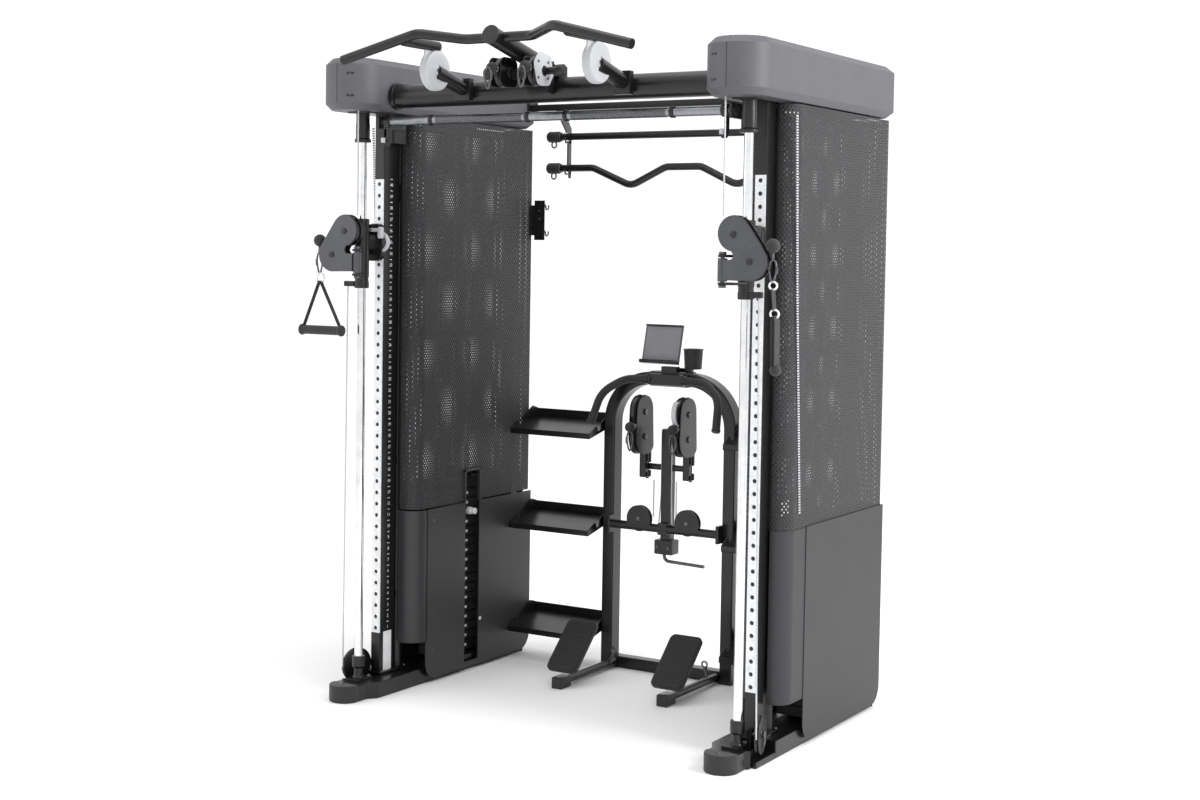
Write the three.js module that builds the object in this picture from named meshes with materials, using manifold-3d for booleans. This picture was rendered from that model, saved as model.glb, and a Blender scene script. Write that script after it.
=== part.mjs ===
// Functional trainer: two weight-stack towers joined by a top frame, with sliding cable carriages,
// a counter-hooked press bar, a rear rowing arch, dumbbell shelves and stored bars.
// Millimetres, +Z up, front towards -Y. The model is laid out from the front face of the columns
// (Y = 0) and the floor (Z = 0), and is then moved as a whole to its own centre.
import * as THREE from 'three';
import { mergeVertices } from 'three/addons/utils/BufferGeometryUtils.js';
import Module from 'manifold-3d';

const wasm = await Module();
wasm.setup();

// ---- driving dimensions -------------------------------------------------------------------------
const gap = 0.3;                 // clearance between touching pieces
const columnX = 700;             // centre of each column, left and right
const columnWidth = 36;
const columnDepth = 80;
const columnTop = 1924;
const rearTubeY = 112;           // round tube behind each column
const holePitch = 38.1;          // index holes, one and a half inches apart
const holeCount = 40;
const firstHole = 211;
const holeRadius = 6.5;
const railHeight = 56;
const railInner = 617;
const railOuter = 771;
const railFront = -215;
const railRear = 775;
const noseX = 694;               // rounded front end of a rail, narrower than the rail
const noseHalf = 52;
const noseRear = -116;
const rodX = 702.6;              // chrome guide rod of the cable carriage
const rodY = -85.5;
const rodRadius = 14;
const rodBottom = 133;
const rodTop = 1828;
const hoodInner = 598;
const hoodOuter = 797;
const hoodFront = -225;
const hoodRear = 787;
const hoodBottom = 1928;
const hoodTop = 2093;
const skinInner = 605;           // inner and outer faces of the tower skin
const skinOuter = 780;
const skinFront = 90;
const skinRear = 790;
const coverTopOuter = 670;
const coverTopInner = 600;
const slotY = [376, 459];        // weight selector slot
const slotZ = [35, 710];
const stackX = [648, 738];
const stackY = [293, 543];
const plateCount = 17;
const platePitch = 34;
const stackBottom = 62;
const stackTop = stackBottom + plateCount * platePitch;
const stackRodY = [330, 506];
const stackRodRadius = 10;
const carriageBottom = 1353;
const carriageTop = 1580;
const pinHoleIndex = 35;
const pinZ = firstHole + pinHoleIndex * holePitch;
const hingeX = 663;              // swivel axis of the pulley housing, which the cable runs down
const hingeY = -158;
const upperPulley = [704, 1538];
const lowerPulley = [756, 1462];
const pulleyRadius = 43;
const pulleyWidth = 16;
const cableRadius = 2.5;
const footPulley = { x: 752, y: -34, z: 86, radius: 57, toe: 0.24 };
const beamY = -47;
const beamZ = 1978;
const beamRadius = 38;
const pressBarY = -60;
const pressBarZ = 1897;
const pressBarRadius = 14;
const archX = 239;               // centre line of the arch posts
const archFront = 740;
const archDepth = 58;
const archWidth = 45;
const archTop = 1066;
const archBend = 165;
const shelfFront = 645;
const shelfRear = 828;
const shelfInner = 263;
const shelfOuter = 604;
const shelfLevels = [823, 478, 99];
const shelfRise = 50;            // height gained from the front of a shelf to its back
const rowBarZ = 521;
const footX = 204;               // hinge line of the foot plates
const footY = 405;
const storedY = 818;             // bars stored behind the rear crossmember
const storedHalf = 565;
const straightBarZ = 1900;
const curlBarZ = 1786;
const hangerX = 482;

// ---- finishes -----------------------------------------------------------------------------------
const finish = (color, roughness, metalness) => (
  new THREE.MeshStandardMaterial({ color, roughness, metalness })
);
const frameBlack = finish(0x26272a, 0.45, 0.3);
const coverGrey = finish(0x4b4b50, 0.6, 0.0);
const meshGrey = finish(0x3a3b40, 0.85, 0.0);
const chromeSteel = finish(0xdfe0e2, 0.12, 1.0);
const castBlack = finish(0x1b1b1d, 0.7, 0.1);
const pulleyBlack = finish(0x151517, 0.5, 0.0);
const plateGrey = finish(0x5c5d61, 0.45, 0.2);
const rubberBlack = finish(0x202124, 0.9, 0.0);
const cableSteel = finish(0xa9aaad, 0.35, 0.8);

// ---- solids -------------------------------------------------------------------------------------
function solid(shape) {
  if (!(shape instanceof THREE.BufferGeometry)) return shape;
  const bare = shape.clone();
  bare.deleteAttribute('normal');
  bare.deleteAttribute('uv');
  const merged = mergeVertices(bare, 1e-3);
  const source = merged.index.array;
  const triangles = [];
  for (let i = 0; i < source.length; i += 3) {
    const [a, b, c] = source.slice(i, i + 3);
    if (a !== b && b !== c && c !== a) triangles.push(a, b, c);
  }
  return new wasm.Manifold(new wasm.Mesh({
    numProp: 3,
    vertProperties: merged.attributes.position.array,
    triVerts: new Uint32Array(triangles),
  }));
}

const join = (...shapes) => shapes.map(solid).reduce((whole, next) => whole.add(next));
const cut = (body, ...tools) => tools.map(solid).reduce((whole, next) => whole.subtract(next), solid(body));

// A closed solid as a geometry; side -1 gives its mirror image across the middle of the machine.
function geometryOf(shape, side = 1) {
  const mesh = solid(shape).getMesh();
  const positions = [];
  for (let i = 0; i < mesh.vertProperties.length; i += mesh.numProp) {
    positions.push(side * mesh.vertProperties[i], mesh.vertProperties[i + 1], mesh.vertProperties[i + 2]);
  }
  const index = Array.from(mesh.triVerts);
  if (side < 0) {
    for (let i = 0; i < index.length; i += 3) {
      [index[i], index[i + 1]] = [index[i + 1], index[i]];
    }
  }
  const geometry = new THREE.BufferGeometry();
  geometry.setAttribute('position', new THREE.Float32BufferAttribute(positions, 3));
  geometry.setIndex(index);
  geometry.computeVertexNormals();
  return geometry;
}

function box(x, y, z) {
  const size = [x, y, z].map(([low, high]) => high - low);
  const middle = [x, y, z].map(([low, high]) => (low + high) / 2);
  return new THREE.BoxGeometry(...size).translate(...middle);
}

function rod(from, to, radius, sides = 12, endRadius = radius) {
  const start = new THREE.Vector3(...from);
  const way = new THREE.Vector3(...to).sub(start);
  const up = new THREE.Vector3(0, 1, 0);
  const turn = new THREE.Quaternion().setFromUnitVectors(up, way.clone().normalize());
  const middle = start.clone().addScaledVector(way, 0.5);
  return new THREE.CylinderGeometry(endRadius, radius, way.length(), sides)
    .applyQuaternion(turn)
    .translate(middle.x, middle.y, middle.z);
}

// A prism of an outline along one axis. The outline is in the other two axes, in X, Y, Z order.
function prism(axis, outline, low, high) {
  const corner = ([u, v]) => (axis === 'y' ? new THREE.Vector2(v, u) : new THREE.Vector2(u, v));
  const shape = new THREE.Shape(outline.map(corner));
  const geometry = new THREE.ExtrudeGeometry(shape, { depth: high - low, bevelEnabled: false });
  geometry.translate(0, 0, low);
  const turn = new THREE.Matrix4();
  if (axis === 'x') turn.set(0, 0, 1, 0, 1, 0, 0, 0, 0, 1, 0, 0, 0, 0, 0, 1);
  if (axis === 'y') turn.set(0, 1, 0, 0, 0, 0, 1, 0, 1, 0, 0, 0, 0, 0, 0, 1);
  return geometry.applyMatrix4(turn);
}

// Corner points of an outline with each corner rounded to its own radius.
function rounded(corners, steps = 4) {
  const points = [];
  corners.forEach(([x, y, radius = 0], i) => {
    const here = new THREE.Vector2(x, y);
    if (radius === 0) {
      points.push([x, y]);
      return;
    }
    const before = corners[(i + corners.length - 1) % corners.length];
    const after = corners[(i + 1) % corners.length];
    const back = new THREE.Vector2(before[0], before[1]).sub(here).normalize();
    const on = new THREE.Vector2(after[0], after[1]).sub(here).normalize();
    const half = Math.acos(THREE.MathUtils.clamp(back.dot(on), -1, 1)) / 2;
    const reach = radius / Math.tan(half);
    const centre = back.clone().add(on).normalize().multiplyScalar(radius / Math.sin(half)).add(here);
    const start = here.clone().addScaledVector(back, reach).sub(centre);
    const end = here.clone().addScaledVector(on, reach).sub(centre);
    const sweep = Math.atan2(start.cross(end), start.dot(end));
    for (let k = 0; k <= steps; k += 1) {
      const spoke = start.clone().rotateAround(new THREE.Vector2(), (sweep * k) / steps);
      points.push([centre.x + spoke.x, centre.y + spoke.y]);
    }
  });
  return points;
}

// A centreline of straight runs and round bends, stepped only where it turns.
class Route extends THREE.Curve {
  constructor(corners, radius, steps) {
    super();
    this.points = [];
    this.tangents = [];
    const place = corners.map((corner) => new THREE.Vector3(...corner));
    const heading = place.slice(1).map((point, i) => point.clone().sub(place[i]).normalize());
    this.mark(place[0], heading[0]);
    for (let i = 1; i < place.length - 1; i += 1) {
      const turn = heading[i - 1].angleTo(heading[i]);
      const reach = radius * Math.tan(turn / 2);
      const axis = heading[i - 1].clone().cross(heading[i]).normalize();
      const inward = axis.clone().cross(heading[i - 1]);
      const start = place[i].clone().addScaledVector(heading[i - 1], -reach);
      const centre = start.clone().addScaledVector(inward, radius);
      const spoke = start.clone().sub(centre);
      for (let k = 0; k <= steps; k += 1) {
        const angle = (turn * k) / steps;
        this.mark(
          spoke.clone().applyAxisAngle(axis, angle).add(centre),
          heading[i - 1].clone().applyAxisAngle(axis, angle),
        );
      }
    }
    this.mark(place[place.length - 1], heading[heading.length - 1]);
  }

  mark(point, tangent) {
    this.points.push(point);
    this.tangents.push(tangent.clone());
  }

  getPoint(t) {
    return this.points[Math.round(t * (this.points.length - 1))].clone();
  }

  getSpacedPoints() {
    return this.points.map((point) => point.clone());
  }

  getTangentAt(t) {
    return this.tangents[Math.round(t * (this.tangents.length - 1))].clone();
  }
}

function tube(corners, radius, bend = 40, sides = 10, steps = 4) {
  const route = new Route(corners, bend, steps);
  const section = new THREE.Shape();
  for (let i = 0; i < sides; i += 1) {
    const angle = (2 * Math.PI * i) / sides;
    const point = [radius * Math.cos(angle), radius * Math.sin(angle)];
    if (i === 0) section.moveTo(...point);
    else section.lineTo(...point);
  }
  section.closePath();
  return new THREE.ExtrudeGeometry(section, {
    extrudePath: route, steps: route.points.length - 1, bevelEnabled: false, curveSegments: 1,
  });
}

function grooved(radius, width, bore, sides = 14) {
  const lip = width / 2;
  const depth = 4;
  const profile = [
    [bore, -lip], [radius, -lip], [radius - depth, 0], [radius, lip], [bore, lip], [bore, -lip],
  ].map(([r, y]) => new THREE.Vector2(r, y));
  return new THREE.LatheGeometry(profile, sides);
}

// ---- assembly -----------------------------------------------------------------------------------
const trainer = new THREE.Group();

function add(name, shape, material, side = 1, at = [0, 0, 0], parent = trainer) {
  const mesh = new THREE.Mesh(geometryOf(shape, side), material);
  mesh.name = name;
  mesh.position.set(side * at[0], at[1], at[2]);
  parent.add(mesh);
  return mesh;
}

// ---- base, columns and rods ---------------------------------------------------------------------
function baseRail() {
  const outline = rounded([
    [noseX - noseHalf, railFront, 50], [noseX + noseHalf, railFront, 50], [noseX + noseHalf, noseRear],
    [railOuter, noseRear + 36, 15], [railOuter, railRear, 20], [railInner, railRear, 20],
    [railInner, noseRear + 36, 15], [noseX - noseHalf, noseRear],
  ]);
  const { x, y, z, toe } = footPulley;
  const wall = 3;
  const post = box([650, 700], [730, 770], [railHeight - 1, columnTop]);
  const tower = join(prism('z', outline, 0, railHeight), post);
  const rail = join(
    cut(
      tower,
      box([railInner + wall, railOuter - wall], [noseRear + 60, railRear + 5], [wall, railHeight - wall]),
      box([650 + wall, 700 - wall], [730 + wall, 770 - wall], [wall, columnTop - wall]),
    ),
    box([672, 726], [-128, -48], [railHeight - 1, railHeight + 6]),
    rod([rodX, rodY, railHeight], [rodX, rodY, 96], 15),
    rod([rodX, rodY, 95], [rodX, rodY, rodBottom - gap], 21, 14),
  );
  const slope = Math.tan(toe);
  const axle = rod([726, y - 26 * slope, z], [x + 12, y + 12 * slope, z], 7.4);
  return join(
    cut(rail, box([727, 790], [y - 66, y + 64], [20, railHeight + 10])),
    box([719.5, 733], [y - 20, y + 8], [railHeight - 16, z + 14]),
    axle,
  );
}

function column() {
  const halfWidth = columnWidth / 2;
  const wall = 4;
  const bottom = railHeight + gap;
  const shell = join(
    box([columnX - 30, columnX + 30], [-6, rearTubeY + 26], [bottom, bottom + 8]),
    box([columnX - halfWidth, columnX + halfWidth], [0, columnDepth], [bottom, columnTop]),
    rod([columnX, rearTubeY, bottom], [columnX, rearTubeY, columnTop], 20, 12),
    rod([rodX, rodY, rodTop + gap], [rodX, rodY, columnTop], 23, 14),
    box([660, 742], [-116, rearTubeY + 28], [columnTop - 1, columnTop + 9]),
    box([662, 740], [beamY - 44, beamY + 60], [columnTop, beamZ + 58]),
  );
  const bore = box(
    [columnX - halfWidth + wall, columnX + halfWidth - wall],
    [wall, columnDepth - wall],
    [bottom - 1, columnTop - 4],
  );
  const holes = [];
  for (let i = 0; i < holeCount; i += 1) {
    const z = firstHole + i * holePitch;
    holes.push(rod([columnX, -5, z], [columnX, wall + 2, z], holeRadius, 6));
  }
  const rearBore = rod([columnX, rearTubeY, bottom - 1], [columnX, rearTubeY, columnTop - 4], 17, 12);
  const beamSeat = box([655, 700], [beamY - 46, beamY + 39], [beamZ - 39, beamZ + 39]);
  return cut(shell, bore, rearBore, beamSeat, ...holes);
}

function guideRod() {
  return rod([rodX, rodY, rodBottom], [rodX, rodY, rodTop], rodRadius, 12);
}

// ---- hoods, covers and screens ------------------------------------------------------------------
function hoodBody(inset, low, high, bevel) {
  const middle = (hoodInner + hoodOuter) / 2;
  const half = (hoodOuter - hoodInner) / 2 - inset;
  const shape = new THREE.Shape();
  shape.absarc(middle, hoodFront + half + inset, half, Math.PI, 2 * Math.PI, false);
  shape.lineTo(middle + half, hoodRear - inset);
  shape.lineTo(middle - half, hoodRear - inset);
  shape.closePath();
  const geometry = new THREE.ExtrudeGeometry(shape, {
    depth: high - low - 2 * bevel, bevelEnabled: bevel > 0, bevelThickness: bevel, bevelSize: bevel,
    bevelOffset: -bevel, bevelSegments: 1, curveSegments: 10,
  });
  return geometry.translate(0, 0, low + bevel);
}

function hood() {
  const chamfer = 16;
  const wall = 4;
  return cut(
    hoodBody(0, hoodBottom, hoodTop, chamfer),
    hoodBody(chamfer + wall, hoodBottom - 10, hoodTop - wall, 0),
    hoodBody(wall, hoodBottom + chamfer, hoodTop - chamfer, 0),
    rod([hoodInner - 20, beamY, beamZ], [hoodInner + 30, beamY, beamZ], beamRadius + 5, 16),
  );
}

// The tower skin in plan: one open wall from the inner front corner round the back to the outer front.
function skinPlan(inset, thickness, innerFrontX, outerFrontX) {
  const ring = (offset) => rounded([
    [innerFrontX, skinFront + offset],
    [skinInner + offset, skinFront + offset, 50 - offset],
    [skinInner + offset, skinRear - offset, 20 - offset],
    [skinOuter - offset, skinRear - offset, 20 - offset],
    [skinOuter - offset, skinFront - 30 + offset, 52 - offset],
    [outerFrontX, skinFront - 30 + offset],
  ], 5);
  return [...ring(inset), ...ring(inset + thickness).reverse()];
}

function screen() {
  return cut(
    prism('z', skinPlan(0, 2.4, 676, 724), coverTopInner - 15, columnTop - 2),
    box([600, 620], [slotY[0] - 6, slotY[1] + 6], [coverTopInner - 20, slotZ[1] + 6]),
  );
}

const sidePanel = (front, top, low, radius) => rounded([
  [front, top], [front, low, radius], [skinRear - 2, low, radius], [skinRear - 2, top],
], 5);

function outerCover() {
  const skin = skinPlan(-3.5, 3, 676, 724);
  return join(
    prism('x', sidePanel(190, coverTopOuter, 62, 60), skinOuter + 0.5, skinOuter + 3.5),
    prism('x', sidePanel(190, 300, 14, 60), skinOuter + 0.5, skinOuter + 3.5),
    cut(
      prism('z', skin, 150, coverTopOuter),
      box([590, 690], [0, 760], [100, 800]),
      box([690, 790], [200, 760], [100, 800]),
      box([590, 640], [700, 800], [100, 800]),
    ),
    box([640, 770], [skinRear + 0.5, skinRear + 3.5], [20, 300]),
  );
}

function innerCover() {
  const skin = skinPlan(-3.5, 3, 676, 724);
  return cut(
    join(
      prism('x', sidePanel(150, coverTopInner, 14, 60), skinInner - 3.5, skinInner - 0.5),
      cut(
        prism('z', skin, 150, coverTopInner),
        box([612, 800], [130, 810], [100, 800]),
        box([680, 800], [0, 200], [100, 800]),
        box([590, 640], [200, 810], [100, 800]),
      ),
    ),
    box([590, 620], slotY, [slotZ[0], slotZ[1]]),
  );
}

// ---- weight stacks ------------------------------------------------------------------------------
function weightStack() {
  const groove = 3;
  const side = (y, inward) => {
    const edge = [];
    for (let i = 0; i < plateCount; i += 1) {
      const low = stackBottom + i * platePitch;
      const high = low + platePitch - groove;
      if (i === plateCount - 1) edge.push([y, low], [y, stackTop]);
      else edge.push([y, low], [y, high], [y + inward, high], [y + inward, low + platePitch]);
    }
    return edge;
  };
  const outline = [...side(stackY[0], groove), ...side(stackY[1], -groove).reverse()];
  const middleX = (stackX[0] + stackX[1]) / 2;
  const middleY = (stackY[0] + stackY[1]) / 2;
  const rodFoot = railHeight + gap;
  const rods = stackRodY.map((y) => rod([middleX, y, rodFoot], [middleX, y, 1912], stackRodRadius, 10));
  return join(
    cut(prism('x', outline, ...stackX), rod([middleX, middleY, 75], [middleX, middleY, 700], 14, 10)),
    ...rods,
    box([middleX - 20, middleX + 20], [stackRodY[0] - 16, stackRodY[1] + 16], [1908, 1920]),
  );
}

function stackHead() {
  const middleX = (stackX[0] + stackX[1]) / 2;
  const middleY = (stackY[0] + stackY[1]) / 2;
  const low = stackTop + gap;
  const body = join(
    box(stackX, stackY, [low, low + 38]),
    rod([middleX, middleY, 85], [middleX, middleY, low + 5], 9, 10),
    box([middleX - 12, middleX + 12], [middleY - 22, middleY + 22], [low + 37, low + 84]),
  );
  const holeSize = stackRodRadius + 1.2;
  const holes = stackRodY.map((y) => rod([middleX, y, low - 5], [middleX, y, low + 60], holeSize, 10));
  return cut(body, ...holes);
}

function selectorPin() {
  const y = (slotY[0] + slotY[1]) / 2;
  const z = stackTop - platePitch - 40;
  return join(rod([622, y, z], [stackX[0] - 1, y, z], 5, 10), rod([588, y, z], [623, y, z], 14, 14, 11));
}

// ---- top frame ----------------------------------------------------------------------------------
function crossbeam() {
  const end = 655;
  const flanges = [-1, 1].map((side) => rod([side * 586, beamY, beamZ], [side * 594, beamY, beamZ], 60, 12));
  const bore = rod([-end - 1, beamY, beamZ], [end + 1, beamY, beamZ], beamRadius - 3, 14);
  return cut(join(rod([-end, beamY, beamZ], [end, beamY, beamZ], beamRadius, 14), ...flanges), bore);
}

function rearCrossmember() {
  const hanger = (side) => {
    const outline = [
      [740, 2010], [776, 2010], [842, 1930], [842, 1750], [806, 1750], [806, 1920], [740, 1990],
    ];
    const notches = [straightBarZ, curlBarZ].map((z) => box(
      [side * hangerX - 10, side * hangerX + 10], [790, storedY + 14], [z - 14.5, z + 14.5],
    ));
    return cut(prism('x', outline, side * hangerX - 3, side * hangerX + 3), ...notches);
  };
  return join(
    box([-596, 596], [735, 775], [1988, 2012]),
    ...[-1, 1].map((side) => box([side < 0 ? -597 : 591, side < 0 ? -591 : 597], [725, 785], [1960, 2030])),
    hanger(-1),
    hanger(1),
  );
}

function chinBar() {
  const grip = [
    [-509, -424, 2054], [-240, -408, 2123], [-120, -330, 2108],
    [120, -330, 2108], [240, -408, 2123], [509, -424, 2054],
  ];
  const carriers = [-1, 1].flatMap((side) => {
    const x = side * 290;
    const outline = rounded([[-300, 2110, 20], [-205, 2110, 20], [-185, 1990, 45], [-320, 1990, 45]]);
    return [
      prism('x', outline, x - 20, x + 20),
      rod([x, -410, 2104], [x, -240, 2060], 16, 10),
      rod([x, -250, 2026], [x, -108, 1990], 24, 10),
    ];
  });
  return join(
    tube(grip, 15, 60, 8, 3),
    rod([0, -368, 2110], [0, -60, 2040], 27, 12),
    box([-40, 40], [-120, -86], [1960, 2060]),
    box([-40, 40], [-120, -10], [2017, 2052]),
    ...[-1, 1].map((side) => box([side * 290 - 30, side * 290 + 30], [-110, -86], [1950, 2020])),
    ...carriers,
  );
}

function latPulleyBlock() {
  const drums = [-1, 1].flatMap((side) => {
    const x = side * 60;
    return [
      rod([x - 24, -210, 2018], [x + 24, -210, 2018], 46, 14),
      rod([x, -250, 2025], [x, -296, 2027], 15, 8),
      rod([x, -294, 2020], [x, -300, 1965], 6, 8),
    ];
  });
  return join(
    rod([-140, -190, 2020], [140, -190, 2020], 11, 10),
    box([-30, 30], [-170, -122], [1990, 2024]),
    box([-36, 36], [-215, -160], [2000, 2026]),
    ...drums,
  );
}

function pressBar() {
  const hooks = [-1, 1].flatMap((side) => {
    const outline = [
      [-72, 1912], [-46, 1912], [-46, 1838], [-52, 1822], [-78, 1816], [-92, 1826], [-92, 1840], [-84, 1840],
      [-80, 1832], [-66, 1836], [-66, 1880],
    ];
    return prism('x', outline, side * 616 - 4, side * 616 + 4);
  });
  return join(rod([-631, pressBarY, pressBarZ], [631, pressBarY, pressBarZ], pressBarRadius, 14), ...hooks);
}

function pressSlide() {
  return cut(
    join(
      box([636, 646], [-84, 60], [1872, 1918]),
      box([645, 681], [6, 74], [1830, 1918]),
    ),
    rod([600, pressBarY, pressBarZ], [660, pressBarY, pressBarZ], pressBarRadius + 1, 14),
  );
}

// ---- cable carriages ----------------------------------------------------------------------------
function carriage() {
  const ear = (low) => prism('z', [
    [684, -100], [718, -104], [hingeX + 14, hingeY - 12], [hingeX, hingeY - 16], [hingeX - 13, hingeY - 8],
    [hingeX - 10, hingeY + 14],
  ], low, low + 8);
  const body = join(
    rod([rodX, rodY, carriageBottom], [rodX, rodY, carriageTop], 24, 12),
    ear(1394),
    ear(1473),
    rod([hingeX, hingeY, 1390], [hingeX, hingeY, 1485], 6, 10),
    box([686, 714], [-34, -6], [pinZ - 17, pinZ + 17]),
    box([714, 722], [-92, -6], [pinZ - 17, pinZ + 17]),
    box([720, 762], [-106, -90], [1358, 1376]),
    tube([[690, -20, 1529], [658, -20, 1535], [658, -20, 1480], [690, -20, 1474]], 7, 18, 8, 3),
    box([684, 722], [-34, -10], [1466, 1480]),
    box([714, 722], [-92, -10], [1466, 1480]),
  );
  return cut(
    body,
    rod([rodX, rodY, carriageBottom - 5], [rodX, rodY, carriageTop + 5], rodRadius + 1, 12),
    rod([columnX, -60, pinZ], [columnX, 10, pinZ], 5.8, 10),
  );
}

function popPin() {
  return join(
    rod([columnX, -46, pinZ], [columnX, -gap, pinZ], 4.6, 10),
    box([654, 704], [-46, -38], [pinZ - 6, pinZ + 6]),
    box([652, 664], [-54, -34], [pinZ - 28, pinZ + 10]),
  );
}

function pulleyHousing() {
  const [ux, uz] = upperPulley;
  const [lx, lz] = lowerPulley;
  const web = [[ux + 41, uz + 28], [lx + 44, lz + 31], [lx - 20, lz - 30], [ux - 14, uz - 46], [ux, uz]];
  const plate = (low) => join(
    rod([ux, low, uz], [ux, low + 3, uz], 50, 16),
    rod([lx, low, lz], [lx, low + 3, lz], 54, 16),
    prism('y', web, low, low + 3),
    box([hingeX, lx], [low, low + 3], [1408, 1468]),
  );
  const rear = hingeY + 11;
  const front = hingeY - 14;
  const body = join(
    plate(front),
    plate(rear),
    rod([hingeX, hingeY, 1404], [hingeX, hingeY, 1471], 14, 12),
    box([hingeX, hingeX + 26], [front, rear + 3], [1408, 1466]),
    rod([ux, front - 2, uz], [ux, rear + 5, uz], 5, 10),
    rod([lx, front - 2, lz], [lx, rear + 5, lz], 5, 10),
  );
  return cut(
    body,
    rod([hingeX, hingeY, 1400], [hingeX, hingeY, 1480], 6.8, 10),
    rod([hingeX, hingeY, 1470], [hingeX, hingeY, 1486], 12),
  );
}

function stirrupHandle() {
  const x = 806;
  const y = hingeY;
  return join(
    rod([x - 2, y, 1507], [x + 38, y, 1507], 15, 12),
    new THREE.SphereGeometry(20, 10, 6).translate(x + 14, y, 1507),
    tube([[x + 14, y, 1500], [x + 14, y, 1440], [x + 8, y, 1352]], 5, 30, 8, 2),
    tube([[x + 8, y, 1356], [x - 74, y, 1214]], 6, 10, 8, 1),
    tube([[x + 8, y, 1356], [x + 86, y, 1214]], 6, 10, 8, 1),
    rod([x - 84, y, 1213], [x + 90, y, 1213], 15, 12),
  );
}

function ankleStrap() {
  const x = 820;
  const y = hingeY;
  return join(
    rod([x - 16, y, 1507], [x + 24, y, 1507], 15, 12),
    new THREE.SphereGeometry(20, 10, 6).translate(x, y, 1507),
    tube([[x, y, 1500], [x + 8, y, 1400], [x + 16, y, 1330]], 5, 30, 8, 2),
    box([x + 6, x + 24], [y - 20, y + 20], [1180, 1340]),
    rod([x + 15, y - 9, 1161], [x + 15, y + 9, 1161], 24, 14),
  );
}

// ---- rear arch and rowing unit ------------------------------------------------------------------
function archFrame() {
  const half = archWidth / 2;
  const arch = (offset, low, high) => rounded([
    [-archX - offset, 0], [-archX - offset, archTop - half + offset, archBend + offset],
    [archX + offset, archTop - half + offset, archBend + offset], [archX + offset, 0],
  ], 6);
  const rear = archFront + archDepth;
  const grips = [-1, 1].map((side) => tube([
    [side * 60, 722, 1042], [side * 160, 712, 1040], [side * 232, 670, 990], [side * 246, 627, 889],
  ], 14, 60, 8, 3));
  const arms = [-1, 1].flatMap((side) => [
    rod([side * footX, footY, 22], [side * footX, 752, 22], 14, 10),
    box([side * footX - 20, side * footX + 20], [footY - 48, footY + 18], [0, 40]),
    rod([side * 196, 700, 26], [side * 182, 700, 64], 7, 8),
  ]);
  const postBores = [-1, 1].map((side) => box(
    [side * archX - half + 3, side * archX + half - 3], [archFront + 3, rear - 3], [-1, 880],
  ));
  const opening = [...arch(-half).slice(1, -1), [archX - half, -5], [-archX + half, -5]];
  const brackets = [-1, 1].map((side) => box(
    [side < 0 ? -shelfInner + 1 : archX, side < 0 ? -archX : shelfInner - 1], [752, 790], [840, 880],
  ));
  return join(
    cut(prism('y', arch(half), archFront, rear), ...postBores, prism('y', opening, archFront - 5, rear + 5)),
    box([-archX, archX], [archFront + 6, rear - 6], [0, 42]),
    box([-70, 70], [712, archFront + 2], [1022, 1062]),
    box([-30, 30], [735, 765], [archTop - 2, archTop + 22]),
    cupHolder(),
    ...grips,
    ...arms,
    ...brackets,
  );
}

function cupHolder() {
  const x = 70;
  const y = 786;
  const floor = 1080;
  const outer = rod([x, y, floor], [x, y, floor + 70], 30, 16, 34);
  const inner = rod([x, y, floor + 4], [x, y, floor + 80], 26, 16, 31);
  return cut(join(outer, box([10, 70], [y - 10, y + 10], [archTop - 4, floor + 2])), inner);
}

function tabletHolder() {
  const plate = join(
    box([-100, 50], [-2, 2], [0, 140]),
    box([-100, 50], [-22, 2], [0, 4]),
    box([-100, 50], [-22, -18], [0, 12]),
    box([-100, 50], [-10, 2], [136, 140]),
    box([-12, 12], [0, 16], [10, 60]),
  );
  return solid(plate.rotate([-14, 0, 0])).translate([-18, 752, 1094]);
}

function rowBar() {
  const bracket = (side) => box([side * 216 - 6, side * 216 + 6], [705, archFront - gap], [490, 552]);
  return join(
    rod([-215, 720, rowBarZ], [215, 720, rowBarZ], 15, 14),
    bracket(-1),
    bracket(1),
    box([-19, 19], [728, 766], [470, 870]),
    box([-19, 19], [706, 740], [500, 542]),
    box([-36, 36], [716, 770], [430, 482]),
    ...[-1, 1].flatMap((side) => [
      rod([side * 96, 712, 550], [side * 96, 730, 550], 46, 18),
      rod([side * 15, 750, 733], [side * 86, 750, 733], 11, 12),
      rod([side * 86, 750, 688], [side * 86, 750, 797], 6, 10),
    ]),
    tube([[-8, 742, 440], [-8, 742, 405], [150, 742, 400]], 6, 20, 8, 3),
  );
}

function rearHousing() {
  const x = 86;
  return cut(
    join(
      rod([x - 18, 702, 842], [x + 18, 702, 842], 66, 14),
      rod([x - 18, 702, 928], [x + 18, 702, 928], 62, 14),
      box([x - 18, x + 18], [650, 760], [800, 960]),
      box([x - 13, x + 13], [734, 764], [695, 720]),
      box([x - 13, x + 13], [734, 764], [746, 790]),
      box([x - 13, x + 13], [712, 736], [695, 805]),
      rod([x - 2, 652, 880], [x - 2, 606, 880], 15, 10),
      rod([x - 2, 622, 876], [x - 2, 618, 800], 6, 8),
    ),
    rod([x, 750, 680], [x, 750, 808], 7, 10),
  );
}

function footPlate() {
  const [left, right] = [footX - 60, footX + 60];
  const tread = rounded([[left, 0, 20], [right, 0, 20], [right, 210, 20], [left, 210, 20]]);
  const plate = prism('y', tread, -10, 10);
  const lean = 0.8;
  plate.translate(0, 0, -30).rotateX(-lean).translate(0, footY - 2, 78);
  return join(plate, box([footX - 16, footX + 16], [footY - 10, footY + 10], [53, 86]));
}

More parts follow.
